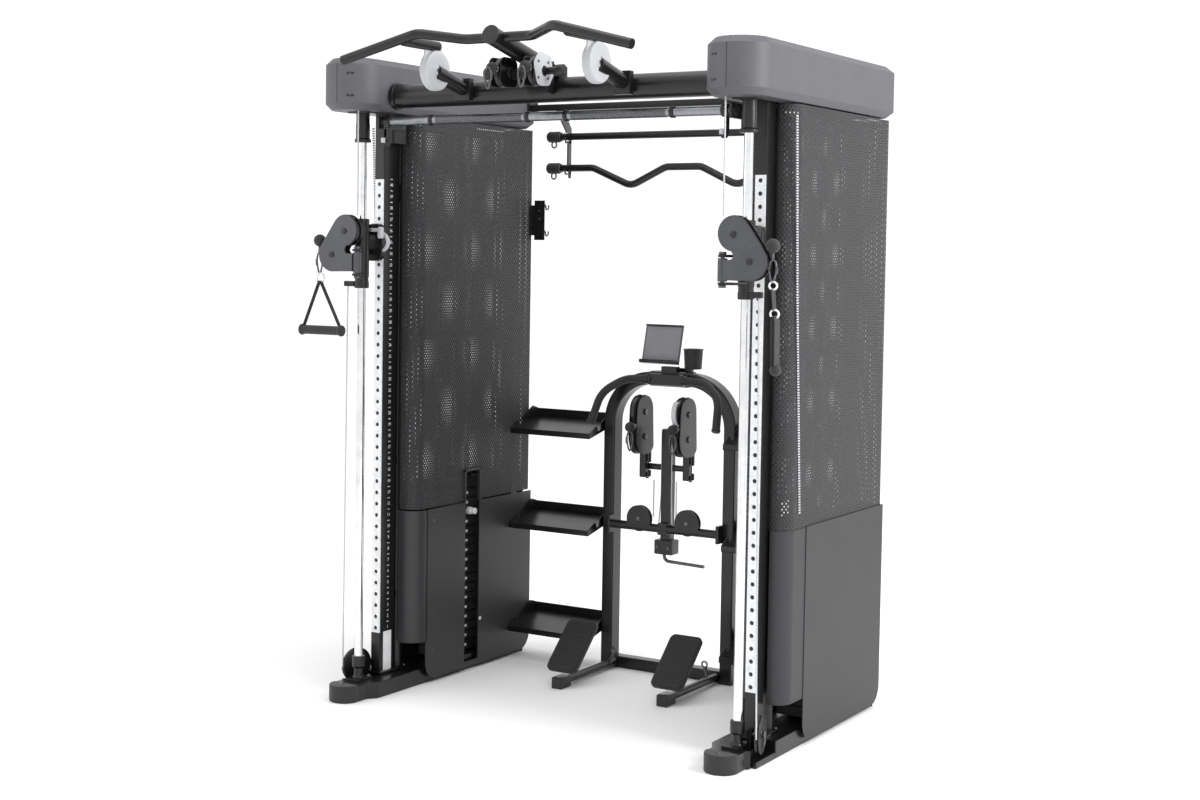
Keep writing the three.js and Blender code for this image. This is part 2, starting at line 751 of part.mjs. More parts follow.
// ---- shelves ------------------------------------------------------------------------------------
function shelf(low) {
  const floor = 3;
  const lip = 20;
  const rearLip = 30;
  const back = low + shelfRise;
  const side = (x) => prism('x', [
    [shelfFront, low], [shelfFront, low + lip], [shelfFront + 50, low + lip + 26],
    [shelfFront + 58, low + 24], [shelfFront + 76, low + 28], [shelfFront + 80, low + 52],
    [shelfRear - 40, back + 42], [shelfRear, back + rearLip], [shelfRear, back - 8],
  ], x, x + 3);
  const sheet = [[shelfFront, low], [shelfFront, low + floor], [shelfRear, back + floor], [shelfRear, back]];
  return join(
    prism('x', sheet, shelfInner, shelfOuter - 4),
    box([shelfInner, shelfOuter - 4], [shelfFront, shelfFront + 3], [low, low + lip]),
    box([shelfInner, shelfOuter - 4], [shelfRear - 3, shelfRear], [back - 4, back + rearLip]),
    side(shelfInner),
    side(shelfOuter - 7),
  );
}

// ---- stored bars --------------------------------------------------------------------------------
function storedBar(height, wave, sides, steps) {
  const ends = [-1, 1].map((side) => rod(
    [side * (storedHalf - 52), storedY, height], [side * storedHalf, storedY, height], 20, 12,
  ));
  const half = [[storedHalf - 20, 0], ...wave];
  const run = [...half.map(([x, drop]) => [-x, drop]), ...half.reverse()];
  const corners = run.map(([x, drop]) => [x, storedY, height - drop]);
  const bar = wave.length ? tube(corners, 13, 60, sides, steps) : rod(corners[0], corners[1], 13, sides);
  return join(bar, ...ends);
}

// ---- the two towers -----------------------------------------------------------------------------
for (const [word, side] of [['left', -1], ['right', 1]]) {
  add(`base_rail_${word}`, baseRail(), frameBlack, side);
  add(`column_${word}`, column(), frameBlack, side);
  add(`guide_rod_${word}`, guideRod(), chromeSteel, side);
  add(`hood_${word}`, hood(), coverGrey, side);
  add(`screen_${word}`, screen(), meshGrey, side);
  add(`outer_cover_${word}`, outerCover(), coverGrey, side);
  add(`inner_cover_${word}`, innerCover(), coverGrey, side);
  add(`weight_stack_${word}`, weightStack(), castBlack, side);
  add(`stack_head_${word}`, stackHead(), castBlack, side);
  add(`selector_pin_${word}`, selectorPin(), chromeSteel, side);
  add(`press_slide_${word}`, pressSlide(), frameBlack, side);
  add(`carriage_${word}`, carriage(), frameBlack, side);
  add(`pop_pin_${word}`, popPin(), chromeSteel, side);
  add(`pulley_housing_${word}`, pulleyHousing(), plateGrey, side);
  const wheel = grooved(pulleyRadius, pulleyWidth, 5.6);
  for (const [level, [x, z]] of [['upper', upperPulley], ['lower', lowerPulley]]) {
    add(`${level}_pulley_${word}`, wheel, pulleyBlack, side, [x, hingeY, z]);
  }
  const { x: footPulleyX, y: footPulleyY, z: footPulleyZ, radius, toe } = footPulley;
  const footWheel = grooved(radius, 14, 8.4, 18).rotateZ(Math.PI / 2);
  const foot = add(`foot_pulley_${word}`, footWheel, pulleyBlack, side, [footPulleyX, footPulleyY, footPulleyZ]);
  foot.rotation.z = side * toe;
  const reach = radius + 1;
  const cableFoot = [footPulleyX + reach * Math.sin(toe), footPulleyY - reach * Math.cos(toe), footPulleyZ];
  const upperRun = rod([hingeX, hingeY, 1590], [hingeX, hingeY, columnTop + 3], cableRadius, 8);
  const lowerRun = rod(cableFoot, [750, -98, 1357.5], cableRadius, 8);
  add(`upper_cable_${word}`, upperRun, cableSteel, side);
  add(`lower_cable_${word}`, lowerRun, cableSteel, side);
  add(`rear_pulley_housing_${word}`, rearHousing(), plateGrey, side);
  add(`foot_plate_${word}`, footPlate(), rubberBlack, side);
  ['top', 'middle', 'bottom'].forEach((level, i) => {
    add(`shelf_${level}_${word}`, shelf(shelfLevels[i]), frameBlack, side);
  });
}

// ---- shared pieces ------------------------------------------------------------------------------
add('crossbeam', crossbeam(), frameBlack);
add('rear_crossmember', rearCrossmember(), frameBlack);
add('chin_up_bar', chinBar(), frameBlack);
add('lat_pulley_block', latPulleyBlock(), frameBlack);
add('press_bar', pressBar(), frameBlack);
add('arch_frame', archFrame(), frameBlack);
add('row_bar', rowBar(), frameBlack);
add('tablet_holder', tabletHolder(), plateGrey);
add('straight_bar', storedBar(straightBarZ, [], 12, 1), frameBlack);
add('curl_bar', storedBar(curlBarZ, [[370, 0], [211, 66], [70, 0]], 8, 3), frameBlack);
add('stirrup_handle', stirrupHandle(), rubberBlack, -1);
add('ankle_strap', ankleStrap(), rubberBlack);

const extent = new THREE.Box3().setFromObject(trainer);
const middle = extent.getCenter(new THREE.Vector3());
trainer.position.set(-middle.x, -middle.y, 0);

export default trainer;
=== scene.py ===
"""Looks of a functional trainer: two weight stack towers with sliding cable carriages and a rowing arch.

Lengths in the piece functions are millimetres in the machine's own layout: X = 0 on its middle,
Y = 0 at the front face of the columns, Z = 0 on the floor. Pieces end up in metres in the row frame.
"""
import math

import bmesh
import bpy
from mathutils import Matrix, Vector


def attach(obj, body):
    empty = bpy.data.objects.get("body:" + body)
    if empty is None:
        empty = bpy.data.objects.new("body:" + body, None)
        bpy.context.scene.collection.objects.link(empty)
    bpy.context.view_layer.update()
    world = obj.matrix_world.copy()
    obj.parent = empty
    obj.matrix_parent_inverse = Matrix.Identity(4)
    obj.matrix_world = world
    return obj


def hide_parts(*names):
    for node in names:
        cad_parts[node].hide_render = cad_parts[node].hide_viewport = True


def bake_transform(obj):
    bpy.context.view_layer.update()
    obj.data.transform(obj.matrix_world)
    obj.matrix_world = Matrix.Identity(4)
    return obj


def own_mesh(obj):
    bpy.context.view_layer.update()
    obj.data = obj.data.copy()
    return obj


bl_info = {
    "name": "Functional trainer",
    "version": (1, 0, 0),
    "blender": (4, 5, 0),
    "location": "3D View > Sidebar > Trainer",
    "description": "Builds the visible pieces of a two tower cable machine around its packed frame",
    "category": "Object",
}

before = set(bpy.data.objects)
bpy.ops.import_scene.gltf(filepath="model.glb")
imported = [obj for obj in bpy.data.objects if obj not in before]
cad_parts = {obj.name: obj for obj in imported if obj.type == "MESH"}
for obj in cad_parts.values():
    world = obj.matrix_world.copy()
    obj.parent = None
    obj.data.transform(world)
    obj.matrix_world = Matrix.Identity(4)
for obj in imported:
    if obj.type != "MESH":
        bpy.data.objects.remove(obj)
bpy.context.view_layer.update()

LAYOUT_MIDDLE = (19.4303, -201.5124)  # what the frame moved the layout by, in X and Y
SIDES = (("left", -1), ("right", 1))
COLUMN_X = 700.0
HOLE_PITCH = 38.1
HOLE_COUNT = 40
FIRST_HOLE = 211.0
PIN_Z = FIRST_HOLE + 35 * HOLE_PITCH
SWIVEL = (663.0, -158.0)
ROD = (702.6, -85.5)
HOOD_MIDDLE, HOOD_HALF, HOOD_FRONT = 697.5, 99.5, -225
STACK = (693, 418)  # middle of the weight plates in plan
STACK_RODS = (330, 506)  # Y of the two rods that guide the plates
PLATE_PITCH, PLATE_COUNT, PLATE_BOTTOM = 34, 17, 62
CLOTH_SLOT, CLOTH_SLOT_TOP = (370, 465), 716  # opening of the screen over the selector slot
CABLE_RADIUS = 2.5
FOOT_HUB, FOOT_TOE = (752, -34, 86), 0.24  # foot pulley: its middle, and its axle's turn in radians
FOOT_PLATE_X, FOOT_PLATE_Y = 204, 405  # hinge of the tilting foot plates
HANGER_X, HANGER_Y = 482, 818
STORED_BARS = {"straight_bar": 1900, "curl_bar": 1786}  # resting heights in the hangers


def place(point):
    """A layout point in millimetres as a row frame point in metres."""
    x, y, z = point
    return Vector(((x + LAYOUT_MIDDLE[0]) / 1000, (y + LAYOUT_MIDDLE[1]) / 1000, z / 1000))


# ---- settings a user would change ----------------------------------------------------------------


def hex_colour(value):
    """An sRGB hex colour as the linear RGBA that shaders use."""
    parts = [int(value[i : i + 2], 16) / 255 for i in (1, 3, 5)]
    return tuple(p / 12.92 if p <= 0.04045 else ((p + 0.055) / 1.055) ** 2.4 for p in parts) + (1.0,)


def colour(name, description, value):
    """A colour setting with its default as hex."""
    return bpy.props.FloatVectorProperty(
        name=name, description=description, subtype="COLOR", size=4, min=0, max=1, default=hex_colour(value)
    )


class TrainerFinishes(bpy.types.PropertyGroup):
    """Base colours of the finishes."""

    frame_paint: colour("Frame paint", "Satin powder coat of the tubes", "#0f0f10")
    hood_plastic: colour("Hoods", "Moulded hoods of the towers", "#515156")
    cover_plastic: colour("Covers", "Moulded lower covers", "#262629")
    mesh_yarn: colour("Mesh", "Yarn of the tower screens", "#1c1c1f")
    plate_paint: colour("Housings", "Powder coat of the pulley housings", "#46474b")
    light_plastic: colour("Light covers", "Light grey shells of the top unit", "#b9babd")
    rubber: colour("Rubber", "Grips and foot plates", "#1a1b1d")


class TrainerSizes(bpy.types.PropertyGroup):
    """Sizes of the repeated details."""

    screw_head: bpy.props.FloatProperty(
        name="Screw head", description="Radius of the socket screw heads", default=0.0065, min=0.001,
        unit="LENGTH"
    )
    mesh_opening: bpy.props.FloatProperty(
        name="Mesh repeat", description="Repeat of the openings in the woven screens", default=0.0125,
        min=0.001, unit="LENGTH",
    )
    plate_gap: bpy.props.FloatProperty(
        name="Plate gap", description="Groove between two plates of a weight stack", default=0.003, min=0,
        unit="LENGTH",
    )


# ---- materials -----------------------------------------------------------------------------------


def add_node(tree, kind, settings=None, links=None):
    """Adds a node; lower case settings are its own properties and capitalised ones its inputs."""
    node = tree.nodes.new(kind)
    for key, value in (settings or {}).items():
        if isinstance(key, str) and key[0].islower():
            setattr(node, key, value)
        else:
            node.inputs[key].default_value = value
    for key, source in (links or {}).items():
        tree.links.new(source, node.inputs[key])
    return node


def surface(name, constants, varied):
    """A material from a shader's constants and its varied look.

    varied holds the low and high colour, the size of the patches, the low and high roughness, and the size
    and depth of the grain.
    """
    material = bpy.data.materials.get(name)
    if material:
        return material
    material = bpy.data.materials.new(name)
    material.use_nodes = True
    tree = material.node_tree
    shader = tree.nodes["Principled BSDF"]
    for key, value in constants.items():
        shader.inputs[key].default_value = value
    low, high, patch, rough_low, rough_high, grain, depth = varied
    where = add_node(tree, "ShaderNodeTexCoord").outputs["Object"]
    patches = add_node(
        tree, "ShaderNodeTexNoise", {"Scale": 1 / patch, "Detail": 4.0, "Roughness": 0.6}, {"Vector": where}
    )
    ramp = add_node(tree, "ShaderNodeValToRGB", links={"Fac": patches.outputs["Fac"]})
    ramp.color_ramp.elements[0].position = 0.3
    ramp.color_ramp.elements[0].color = low
    ramp.color_ramp.elements[1].position = 0.7
    ramp.color_ramp.elements[1].color = high
    sheen = add_node(
        tree, "ShaderNodeMapRange", {"To Min": rough_low, "To Max": rough_high},
        {"Value": patches.outputs["Fac"]}
    )
    fine = add_node(
        tree, "ShaderNodeTexNoise", {"Scale": 1 / grain, "Detail": 2.0, "Roughness": 0.5}, {"Vector": where}
    )
    bump = add_node(
        tree, "ShaderNodeBump", {"Strength": 0.6, "Distance": depth}, {"Height": fine.outputs["Fac"]}
    )
    tree.links.new(ramp.outputs["Color"], shader.inputs["Base Color"])
    tree.links.new(sheen.outputs["Result"], shader.inputs["Roughness"])
    tree.links.new(bump.outputs["Normal"], shader.inputs["Normal"])
    return material


def shade(base, factor):
    """A colour made lighter or darker."""
    return tuple(min(1.0, part * factor) for part in base[:3]) + (1.0,)


def powder_coat(base, name="powder coat"):
    """Baked powder coat: satin, with a fine orange peel that breaks up highlights."""
    return surface(
        name, {"Metallic": 0.0, "IOR": 1.42, "Coat Weight": 0.2, "Coat Roughness": 0.16},
        (shade(base, 0.86), shade(base, 1.16), 0.07, 0.27, 0.38, 0.0022, 0.00008),
    )


def moulded_abs(base, name="moulded ABS"):
    """Textured ABS moulding: even grey, dull, with a fine leather grain."""
    return surface(
        name, {"Metallic": 0.0, "IOR": 1.54},
        (shade(base, 0.92), shade(base, 1.09), 0.12, 0.46, 0.56, 0.0016, 0.00018),
    )


def hard_chrome():
    """Hard chrome on a ground rod: mirror bright with faint oil haze."""
    return surface(
        "hard chrome", {"Metallic": 1.0},
        (hex_colour("#d9dadd"), hex_colour("#f1f2f3"), 0.05, 0.07, 0.16, 0.004, 0.00001),
    )


def zinc_plate():
    """Bright zinc plate: pale, slightly cloudy metal."""
    return surface(
        "zinc plate", {"Metallic": 0.35, "IOR": 1.5},
        (hex_colour("#d8dadd"), hex_colour("#f2f3f4"), 0.02, 0.32, 0.45, 0.002, 0.00004),
    )


def screw_steel():
    """Black oxide screws: dark steel with worn, brighter sockets."""
    return surface(
        "black oxide steel", {"Metallic": 0.8},
        (hex_colour("#3b3c3f"), hex_colour("#77787b"), 0.004, 0.25, 0.4, 0.001, 0.00004),
    )


def cast_iron():
    """Painted cast iron: black, pebbly from the sand mould."""
    return surface(
        "painted cast iron", {"Metallic": 0.0, "IOR": 1.5},
        (hex_colour("#141415"), hex_colour("#242426"), 0.03, 0.5, 0.65, 0.003, 0.0004),
    )


def turned_nylon():
    """Machined nylon: black and waxy, with fine tool marks."""
    return surface(
        "turned nylon", {"Metallic": 0.0, "IOR": 1.53},
        (hex_colour("#0f0f10"), hex_colour("#1d1d1f"), 0.015, 0.3, 0.42, 0.0012, 0.0001),
    )


def moulded_rubber(base):
    """Moulded rubber: matt, with a slight bloom."""
    return surface(
        "moulded rubber", {"Metallic": 0.0, "IOR": 1.52, "Sheen Weight": 0.15, "Sheen Roughness": 0.5},
        (shade(base, 0.8), shade(base, 1.3), 0.02, 0.62, 0.8, 0.0018, 0.0003),
    )


def coated_cable():
    """Clear nylon jacket over bright steel strand: silvery, with the strand's lay showing through."""
    return surface(
        "nylon coated cable", {"Metallic": 0.5, "IOR": 1.53, "Coat Weight": 0.5, "Coat Roughness": 0.1},
        (hex_colour("#a4a6a9"), hex_colour("#d4d6d8"), 0.004, 0.25, 0.38, 0.0025, 0.0003),
    )


def satin_steel():
    """Brushed steel tube: even mid grey metal with a soft highlight."""
    return surface(
        "satin steel", {"Metallic": 0.9},
        (hex_colour("#7d7f83"), hex_colour("#9b9da1"), 0.03, 0.26, 0.36, 0.0015, 0.00002),
    )


def printed_film():
    """Matt vinyl film: white, a little uneven where it was rubbed down."""
    return surface(
        "white vinyl film", {"Metallic": 0.0, "IOR": 1.46},
        (hex_colour("#dcdddf"), hex_colour("#f2f2f3"), 0.03, 0.4, 0.55, 0.003, 0.00003),
    )


def webbing():
    """Flat woven nylon webbing: dark, with cross ribs about 2 mm apart."""
    return surface(
        "nylon webbing", {"Metallic": 0.0, "Sheen Weight": 0.3, "Sheen Roughness": 0.4},
        (hex_colour("#161618"), hex_colour("#2a2a2d"), 0.004, 0.7, 0.9, 0.002, 0.0006),
    )


def woven_mesh(base, repeat):
    """Stretched polyester mesh: twisted yarn in a diamond weave with see through openings.

    The real openings are about 2 mm apart, which is too fine to show, so they are drawn coarser.
    """
    material = bpy.data.materials.get("polyester mesh")
    if material:
        return material
    material = bpy.data.materials.new("polyester mesh")
    material.use_nodes = True
    tree = material.node_tree
    shader = tree.nodes["Principled BSDF"]
    shader.inputs["IOR"].default_value = 1.55
    shader.inputs["Sheen Weight"].default_value = 0.1
    shader.inputs["Sheen Roughness"].default_value = 0.45
    along = add_node(tree, "ShaderNodeUVMap", {"uv_map": "UVMap"}).outputs["UV"]
    split = add_node(tree, "ShaderNodeSeparateXYZ", links={"Vector": along})
    waves = []
    for axis, ratio in (("X", 1.0), ("Y", 0.72)):
        scaled = add_node(
            tree, "ShaderNodeMath", {"operation": "MULTIPLY", 1: 2 * math.pi * ratio / repeat},
            {0: split.outputs[axis]}
        )
        waves.append(
            add_node(tree, "ShaderNodeMath", {"operation": "SINE"}, {0: scaled.outputs[0]}).outputs[0]
        )
    weave = add_node(tree, "ShaderNodeMath", {"operation": "MULTIPLY"}, {0: waves[0], 1: waves[1]})
    open_part = add_node(
        tree, "ShaderNodeMapRange", {"From Min": 0.62, "From Max": 0.86}, {"Value": weave.outputs[0]}
    )
    uneven = add_node(tree, "ShaderNodeTexNoise", {"Scale": 9.0, "Detail": 3.0}, {"Vector": along})
    yarns = add_node(
        tree, "ShaderNodeMath", {"operation": "MULTIPLY_ADD", 1: 0.6},
        {0: weave.outputs[0], 2: uneven.outputs["Fac"]}
    )
    ramp = add_node(tree, "ShaderNodeValToRGB", links={"Fac": yarns.outputs[0]})
    ramp.color_ramp.elements[0].color = shade(base, 0.5)
    ramp.color_ramp.elements[1].color = shade(base, 2.2)
    rough = add_node(
        tree, "ShaderNodeMapRange", {"To Min": 0.55, "To Max": 0.75}, {"Value": uneven.outputs["Fac"]}
    )
    bump = add_node(
        tree, "ShaderNodeBump", {"Strength": 0.9, "Distance": 0.0008, "invert": True},
        {"Height": weave.outputs[0]}
    )
    solid = add_node(
        tree, "ShaderNodeMath", {"operation": "SUBTRACT", 0: 1.0}, {1: open_part.outputs["Result"]}
    )
    tree.links.new(ramp.outputs["Color"], shader.inputs["Base Color"])
    tree.links.new(rough.outputs["Result"], shader.inputs["Roughness"])
    tree.links.new(bump.outputs["Normal"], shader.inputs["Normal"])
    tree.links.new(solid.outputs[0], shader.inputs["Alpha"])
    return material


def finish_of(key):
    """The material for a finish's short name."""
    colours = bpy.context.scene.trainer_finishes
    sizes = bpy.context.scene.trainer_sizes
    makers = {
        "frame": lambda: powder_coat(tuple(colours.frame_paint)),
        "hood": lambda: moulded_abs(tuple(colours.hood_plastic), "moulded hood ABS"),
        "cover": lambda: moulded_abs(tuple(colours.cover_plastic)),
        "plate": lambda: powder_coat(tuple(colours.plate_paint), "grey powder coat"),
        "light": lambda: moulded_abs(tuple(colours.light_plastic), "light grey ABS"),
        "pad": lambda: moulded_abs(shade(tuple(colours.light_plastic), 0.45), "tablet pad foam"),
        "rubber": lambda: moulded_rubber(tuple(colours.rubber)),
        "mesh": lambda: woven_mesh(tuple(colours.mesh_yarn), sizes.mesh_opening),
        "chrome": hard_chrome,
        "zinc": zinc_plate,
        "satin": satin_steel,
        "screw": screw_steel,
        "iron": cast_iron,
        "nylon": turned_nylon,
        "cable": coated_cable,
        "film": printed_film,
        "webbing": webbing,
    }
    return makers[key]()


# ---- shapes --------------------------------------------------------------------------------------


def rounded(corners, steps=6):
    """Outline points with each corner (u, v, radius) rounded to its own radius."""
    points = []
    for i, corner in enumerate(corners):
        here = Vector(corner[:2])
        radius = corner[2] if len(corner) > 2 else 0
        if not radius:
            points.append(tuple(here))
            continue
        back = (Vector(corners[i - 1][:2]) - here).normalized()
        on = (Vector(corners[(i + 1) % len(corners)][:2]) - here).normalized()
        half = back.angle(on) / 2
        reach = radius / math.tan(half)
        centre = here + (back + on).normalized() * radius / math.sin(half)
        start = here + back * reach - centre
        end = here + on * reach - centre
        sweep = math.atan2(start.x * end.y - start.y * end.x, start.dot(end))
        for k in range(steps + 1):
            turn = Matrix.Rotation(sweep * k / steps, 2)
            points.append(tuple(centre + turn @ start))
    return points


def route(corners, bend, steps=8):
    """Points of a centreline with straight runs and round bends."""
    place_at = [Vector(corner) for corner in corners]
    points = [place_at[0]]
    for i in range(1, len(place_at) - 1):
        came = (place_at[i] - place_at[i - 1]).normalized()
        goes = (place_at[i + 1] - place_at[i]).normalized()
        turn = came.angle(goes)
        if turn < 0.01:
            points.append(place_at[i])
            continue
        reach = bend * math.tan(turn / 2)
        axis = came.cross(goes).normalized()
        start = place_at[i] - came * reach
        centre = start + axis.cross(came) * bend
        for k in range(steps + 1):
            points.append(centre + Matrix.Rotation(turn * k / steps, 3, axis) @ (start - centre))
    points.append(place_at[-1])
    return points


class Maker:
    """Gathers the closed shapes of one piece, each with its finish, then makes the piece."""

    def __init__(self):
        self.whole = bmesh.new()
        self.finishes = []

    def index_of(self, finish):
        """The material slot of a finish, added when it is new."""
        if finish not in self.finishes:
            self.finishes.append(finish)
        return self.finishes.index(finish)

    def take(self, part, finish, edge=0.0, segments=2):
        """Rounds the part's sharp edges and adds it."""
        part.normal_update()
        if edge > 0:
            sharp = [e for e in part.edges if e.is_manifold and e.calc_face_angle(0) > 0.6]
            bmesh.ops.bevel(
                part, geom=sharp, offset=edge, segments=segments, profile=0.5, affect="EDGES",
                clamp_overlap=True
            )
        index = self.index_of(finish)
        for face in part.faces:
            face.material_index = index
        bmesh.ops.recalc_face_normals(part, faces=part.faces)
        held = bpy.data.meshes.new("part")
        part.to_mesh(held)
        part.free()
        self.whole.from_mesh(held)
        bpy.data.meshes.remove(held)
        return self

    def block(self, x, y, z, finish, edge=1.5):
        """A box between two limits on each axis."""
        part = bmesh.new()
        bmesh.ops.create_cube(part, size=1)
        for vert in part.verts:
            vert.co = [
                low + (high - low) * (co + 0.5)
                for (low, high), co in zip((sorted(x), sorted(y), sorted(z)), vert.co)
            ]
        return self.take(part, finish, edge)

    def plate(self, axis, outline, low, high, finish, edge=1.0):
        """An outline in the other two axes, given thickness along axis."""
        part = bmesh.new()
        spots = {"x": (1, 2, 0), "y": (0, 2, 1), "z": (0, 1, 2)}[axis]
        rings = []
        for level in (low, high):
            ring = []
            for u, v in outline:
                spot = [0, 0, 0]
                spot[spots[0]], spot[spots[1]], spot[spots[2]] = u, v, level
                ring.append(part.verts.new(spot))
            rings.append(ring)
        count = len(outline)
        part.faces.new(rings[0])
        part.faces.new(list(reversed(rings[1])))
        for i in range(count):
            j = (i + 1) % count
            part.faces.new((rings[0][j], rings[0][i], rings[1][i], rings[1][j]))
        return self.take(part, finish, edge)

    def turned(self, base, way, profile, finish, sides=40):
        """A profile of (distance along way, radius) points turned about the line from base."""
        part = bmesh.new()
        way = Vector(way).normalized()
        across = way.orthogonal().normalized()
        other = way.cross(across)
        rings = []
        for along, radius in profile:
            centre = Vector(base) + way * along
            if radius < 1e-6:
                rings.append([part.verts.new(centre)])
                continue
            ring = []
            for i in range(sides):
                angle = 2 * math.pi * i / sides
                ring.append(
                    part.verts.new(centre + radius * (across * math.cos(angle) + other * math.sin(angle)))
                )
            rings.append(ring)
        closed = profile[0] == profile[-1]
        if closed:
            rings[-1] = rings[0]
        for ring, following in zip(rings, rings[1:]):
            for i in range(sides):
                j = (i + 1) % sides
                if len(ring) == 1 and len(following) == 1:
                    break
                if len(ring) == 1:
                    part.faces.new((ring[0], following[i], following[j]))
                elif len(following) == 1:
                    part.faces.new((ring[j], ring[i], following[0]))
                else:
                    part.faces.new((ring[j], ring[i], following[i], following[j]))
        if not closed:
            for ring in (rings[0], rings[-1]):
                if len(ring) > 1:
                    part.faces.new(ring)
        loose = [v for v in part.verts if not v.link_faces]
        bmesh.ops.delete(part, geom=loose, context="VERTS")
        return self.take(part, finish)

    def rod(self, start, end, radius, finish, edge=1.0, end_radius=None, sides=32):
        """A round bar with eased ends."""
        way = Vector(end) - Vector(start)
        length = way.length
        far = radius if end_radius is None else end_radius
        near_edge, far_edge = min(edge, radius * 0.9), min(edge, far * 0.9)
        profile = [(0, radius - near_edge)]
        profile += [
            (near_edge * (1 - math.cos(a)), radius - near_edge * (1 - math.sin(a))) for a in (0.5, 1.0)
        ]
        profile += [(near_edge, radius), (length - far_edge, far)]
        profile += [
            (length - far_edge * (1 - math.cos(a)), far - far_edge * (1 - math.sin(a))) for a in (1.0, 0.5)
        ]
        profile += [(length, far - far_edge)]
        return self.turned(start, way, profile, finish, sides)

    def ball(self, centre, radius, finish, sides=28):
        """A sphere turned from a half circle."""
        steps = 12
        profile = [
            (-radius * math.cos(math.pi * i / steps), radius * math.sin(math.pi * i / steps))
            for i in range(1, steps)
        ]
        profile = [(-radius, 0)] + profile + [(radius, 0)]
        return self.turned(centre, (0, 0, 1), profile, finish, sides)

    def swept(self, corners, section, finish, bend=20, steps=8, closed=False, up=None):
        """A section, a radius or (u, v) points, carried along a centreline with round bends."""
        line = route(corners, bend, steps) if not closed else [Vector(c) for c in corners]
        if not isinstance(section, (list, tuple)):
            sides = 24 if section > 6 else 14
            section = [
                (section * math.cos(2 * math.pi * i / sides), section * math.sin(2 * math.pi * i / sides))
                for i in range(sides)
            ]
        part = bmesh.new()
        count = len(line)
        headings = []
        for i in range(count):
            ahead = line[(i + 1) % count] if closed or i < count - 1 else line[i]
            behind = line[i - 1] if closed or i > 0 else line[i]
            headings.append((ahead - behind).normalized())
        side = Vector(up) if up else headings[0].orthogonal()
        rings = []
        for point, heading in zip(line, headings):
            if up:
                side = Vector(up)
            side = (side - heading * side.dot(heading)).normalized()
            other = heading.cross(side)
            rings.append([part.verts.new(point + side * u + other * v) for u, v in section])
        pairs = list(zip(rings, rings[1:])) + ([(rings[-1], rings[0])] if closed else [])
        for ring, following in pairs:
            for i in range(len(section)):
                j = (i + 1) % len(section)
                part.faces.new((ring[j], ring[i], following[i], following[j]))
        if not closed:
            part.faces.new(rings[0])
            part.faces.new(list(reversed(rings[-1])))
        return self.take(part, finish)

    def ring(self, centre, axis, radius, thickness, finish, stretch=1.0, along=(0, 0, 1), steps=28):
        """A closed ring of round wire, stretched along one direction."""
        axis = Vector(axis).normalized()
        along = Vector(along).normalized()
        across = axis.cross(along)
        line = [
            Vector(centre) + along * radius * stretch * math.cos(2 * math.pi * i / steps)
            + across * radius * math.sin(2 * math.pi * i / steps)
            for i in range(steps)
        ]
        return self.swept(line, thickness, finish, closed=True)

    def grown(self, mesh):
        """Adds what a node tree made; its materials keep their own slots."""
        remap = {}
        for i, material in enumerate(mesh.materials):
            remap[i] = self.index_of(material)
        added = bmesh.new()
        added.from_mesh(mesh)
        for face in added.faces:
            face.material_index = remap[face.material_index]
        held = bpy.data.meshes.new("grown")
        added.to_mesh(held)
        added.free()
        self.whole.from_mesh(held)
        bpy.data.meshes.remove(held)
        return self

    def mirrored(self):
        """Swaps the shapes to the left tower."""
        for vert in self.whole.verts:
            vert.co.x = -vert.co.x
        bmesh.ops.reverse_faces(self.whole, faces=self.whole.faces)
        return self

    def piece(self, name, body, nodes=(), side=1):
        """Moves the shapes to the row frame as one piece riding on a body."""
        if side < 0:
            self.mirrored()
        for vert in self.whole.verts:
            vert.co = place(vert.co)
        mesh = bpy.data.meshes.new(name)
        self.whole.to_mesh(mesh)
        self.whole.free()
        for finish in self.finishes:
            mesh.materials.append(finish_of(finish) if isinstance(finish, str) else finish)
        mesh.shade_smooth()
        mesh.set_sharp_from_angle(angle=math.radians(38))
        obj = bpy.data.objects.new(name, mesh)
        bpy.context.scene.collection.objects.link(obj)
        normals = obj.modifiers.new("even flats", "WEIGHTED_NORMAL")
        normals.keep_sharp = True
        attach(obj, body)
        if nodes:
            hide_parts(*nodes)
        return obj


# ---- node trees for what repeats -----------------------------------------------------------------


def new_tree(name, sockets):
    """A geometry tree with named inputs (name, type, default) and one geometry output."""
    tree = bpy.data.node_groups.get(name)
    if tree:
        return tree, None, None
    tree = bpy.data.node_groups.new(name, "GeometryNodeTree")
    tree.interface.new_socket("Geometry", in_out="INPUT", socket_type="NodeSocketGeometry")
    for label, kind, default in sockets:
        socket = tree.interface.new_socket(label, in_out="INPUT", socket_type=kind)
        if default is not None:
            socket.default_value = default
    tree.interface.new_socket("Geometry", in_out="OUTPUT", socket_type="NodeSocketGeometry")
    return tree, add_node(tree, "NodeGroupInput").outputs, add_node(tree, "NodeGroupOutput")


def end_tree(tree, inputs, output, geometry):
    """Realises the instances and sets the finish, as the last two nodes."""
    solid = add_node(tree, "GeometryNodeRealizeInstances", links={"Geometry": geometry})
    painted = add_node(
        tree, "GeometryNodeSetMaterial", links={"Geometry": solid.outputs[0], "Material": inputs["Material"]}
    )
    tree.links.new(painted.outputs[0], output.inputs[0])


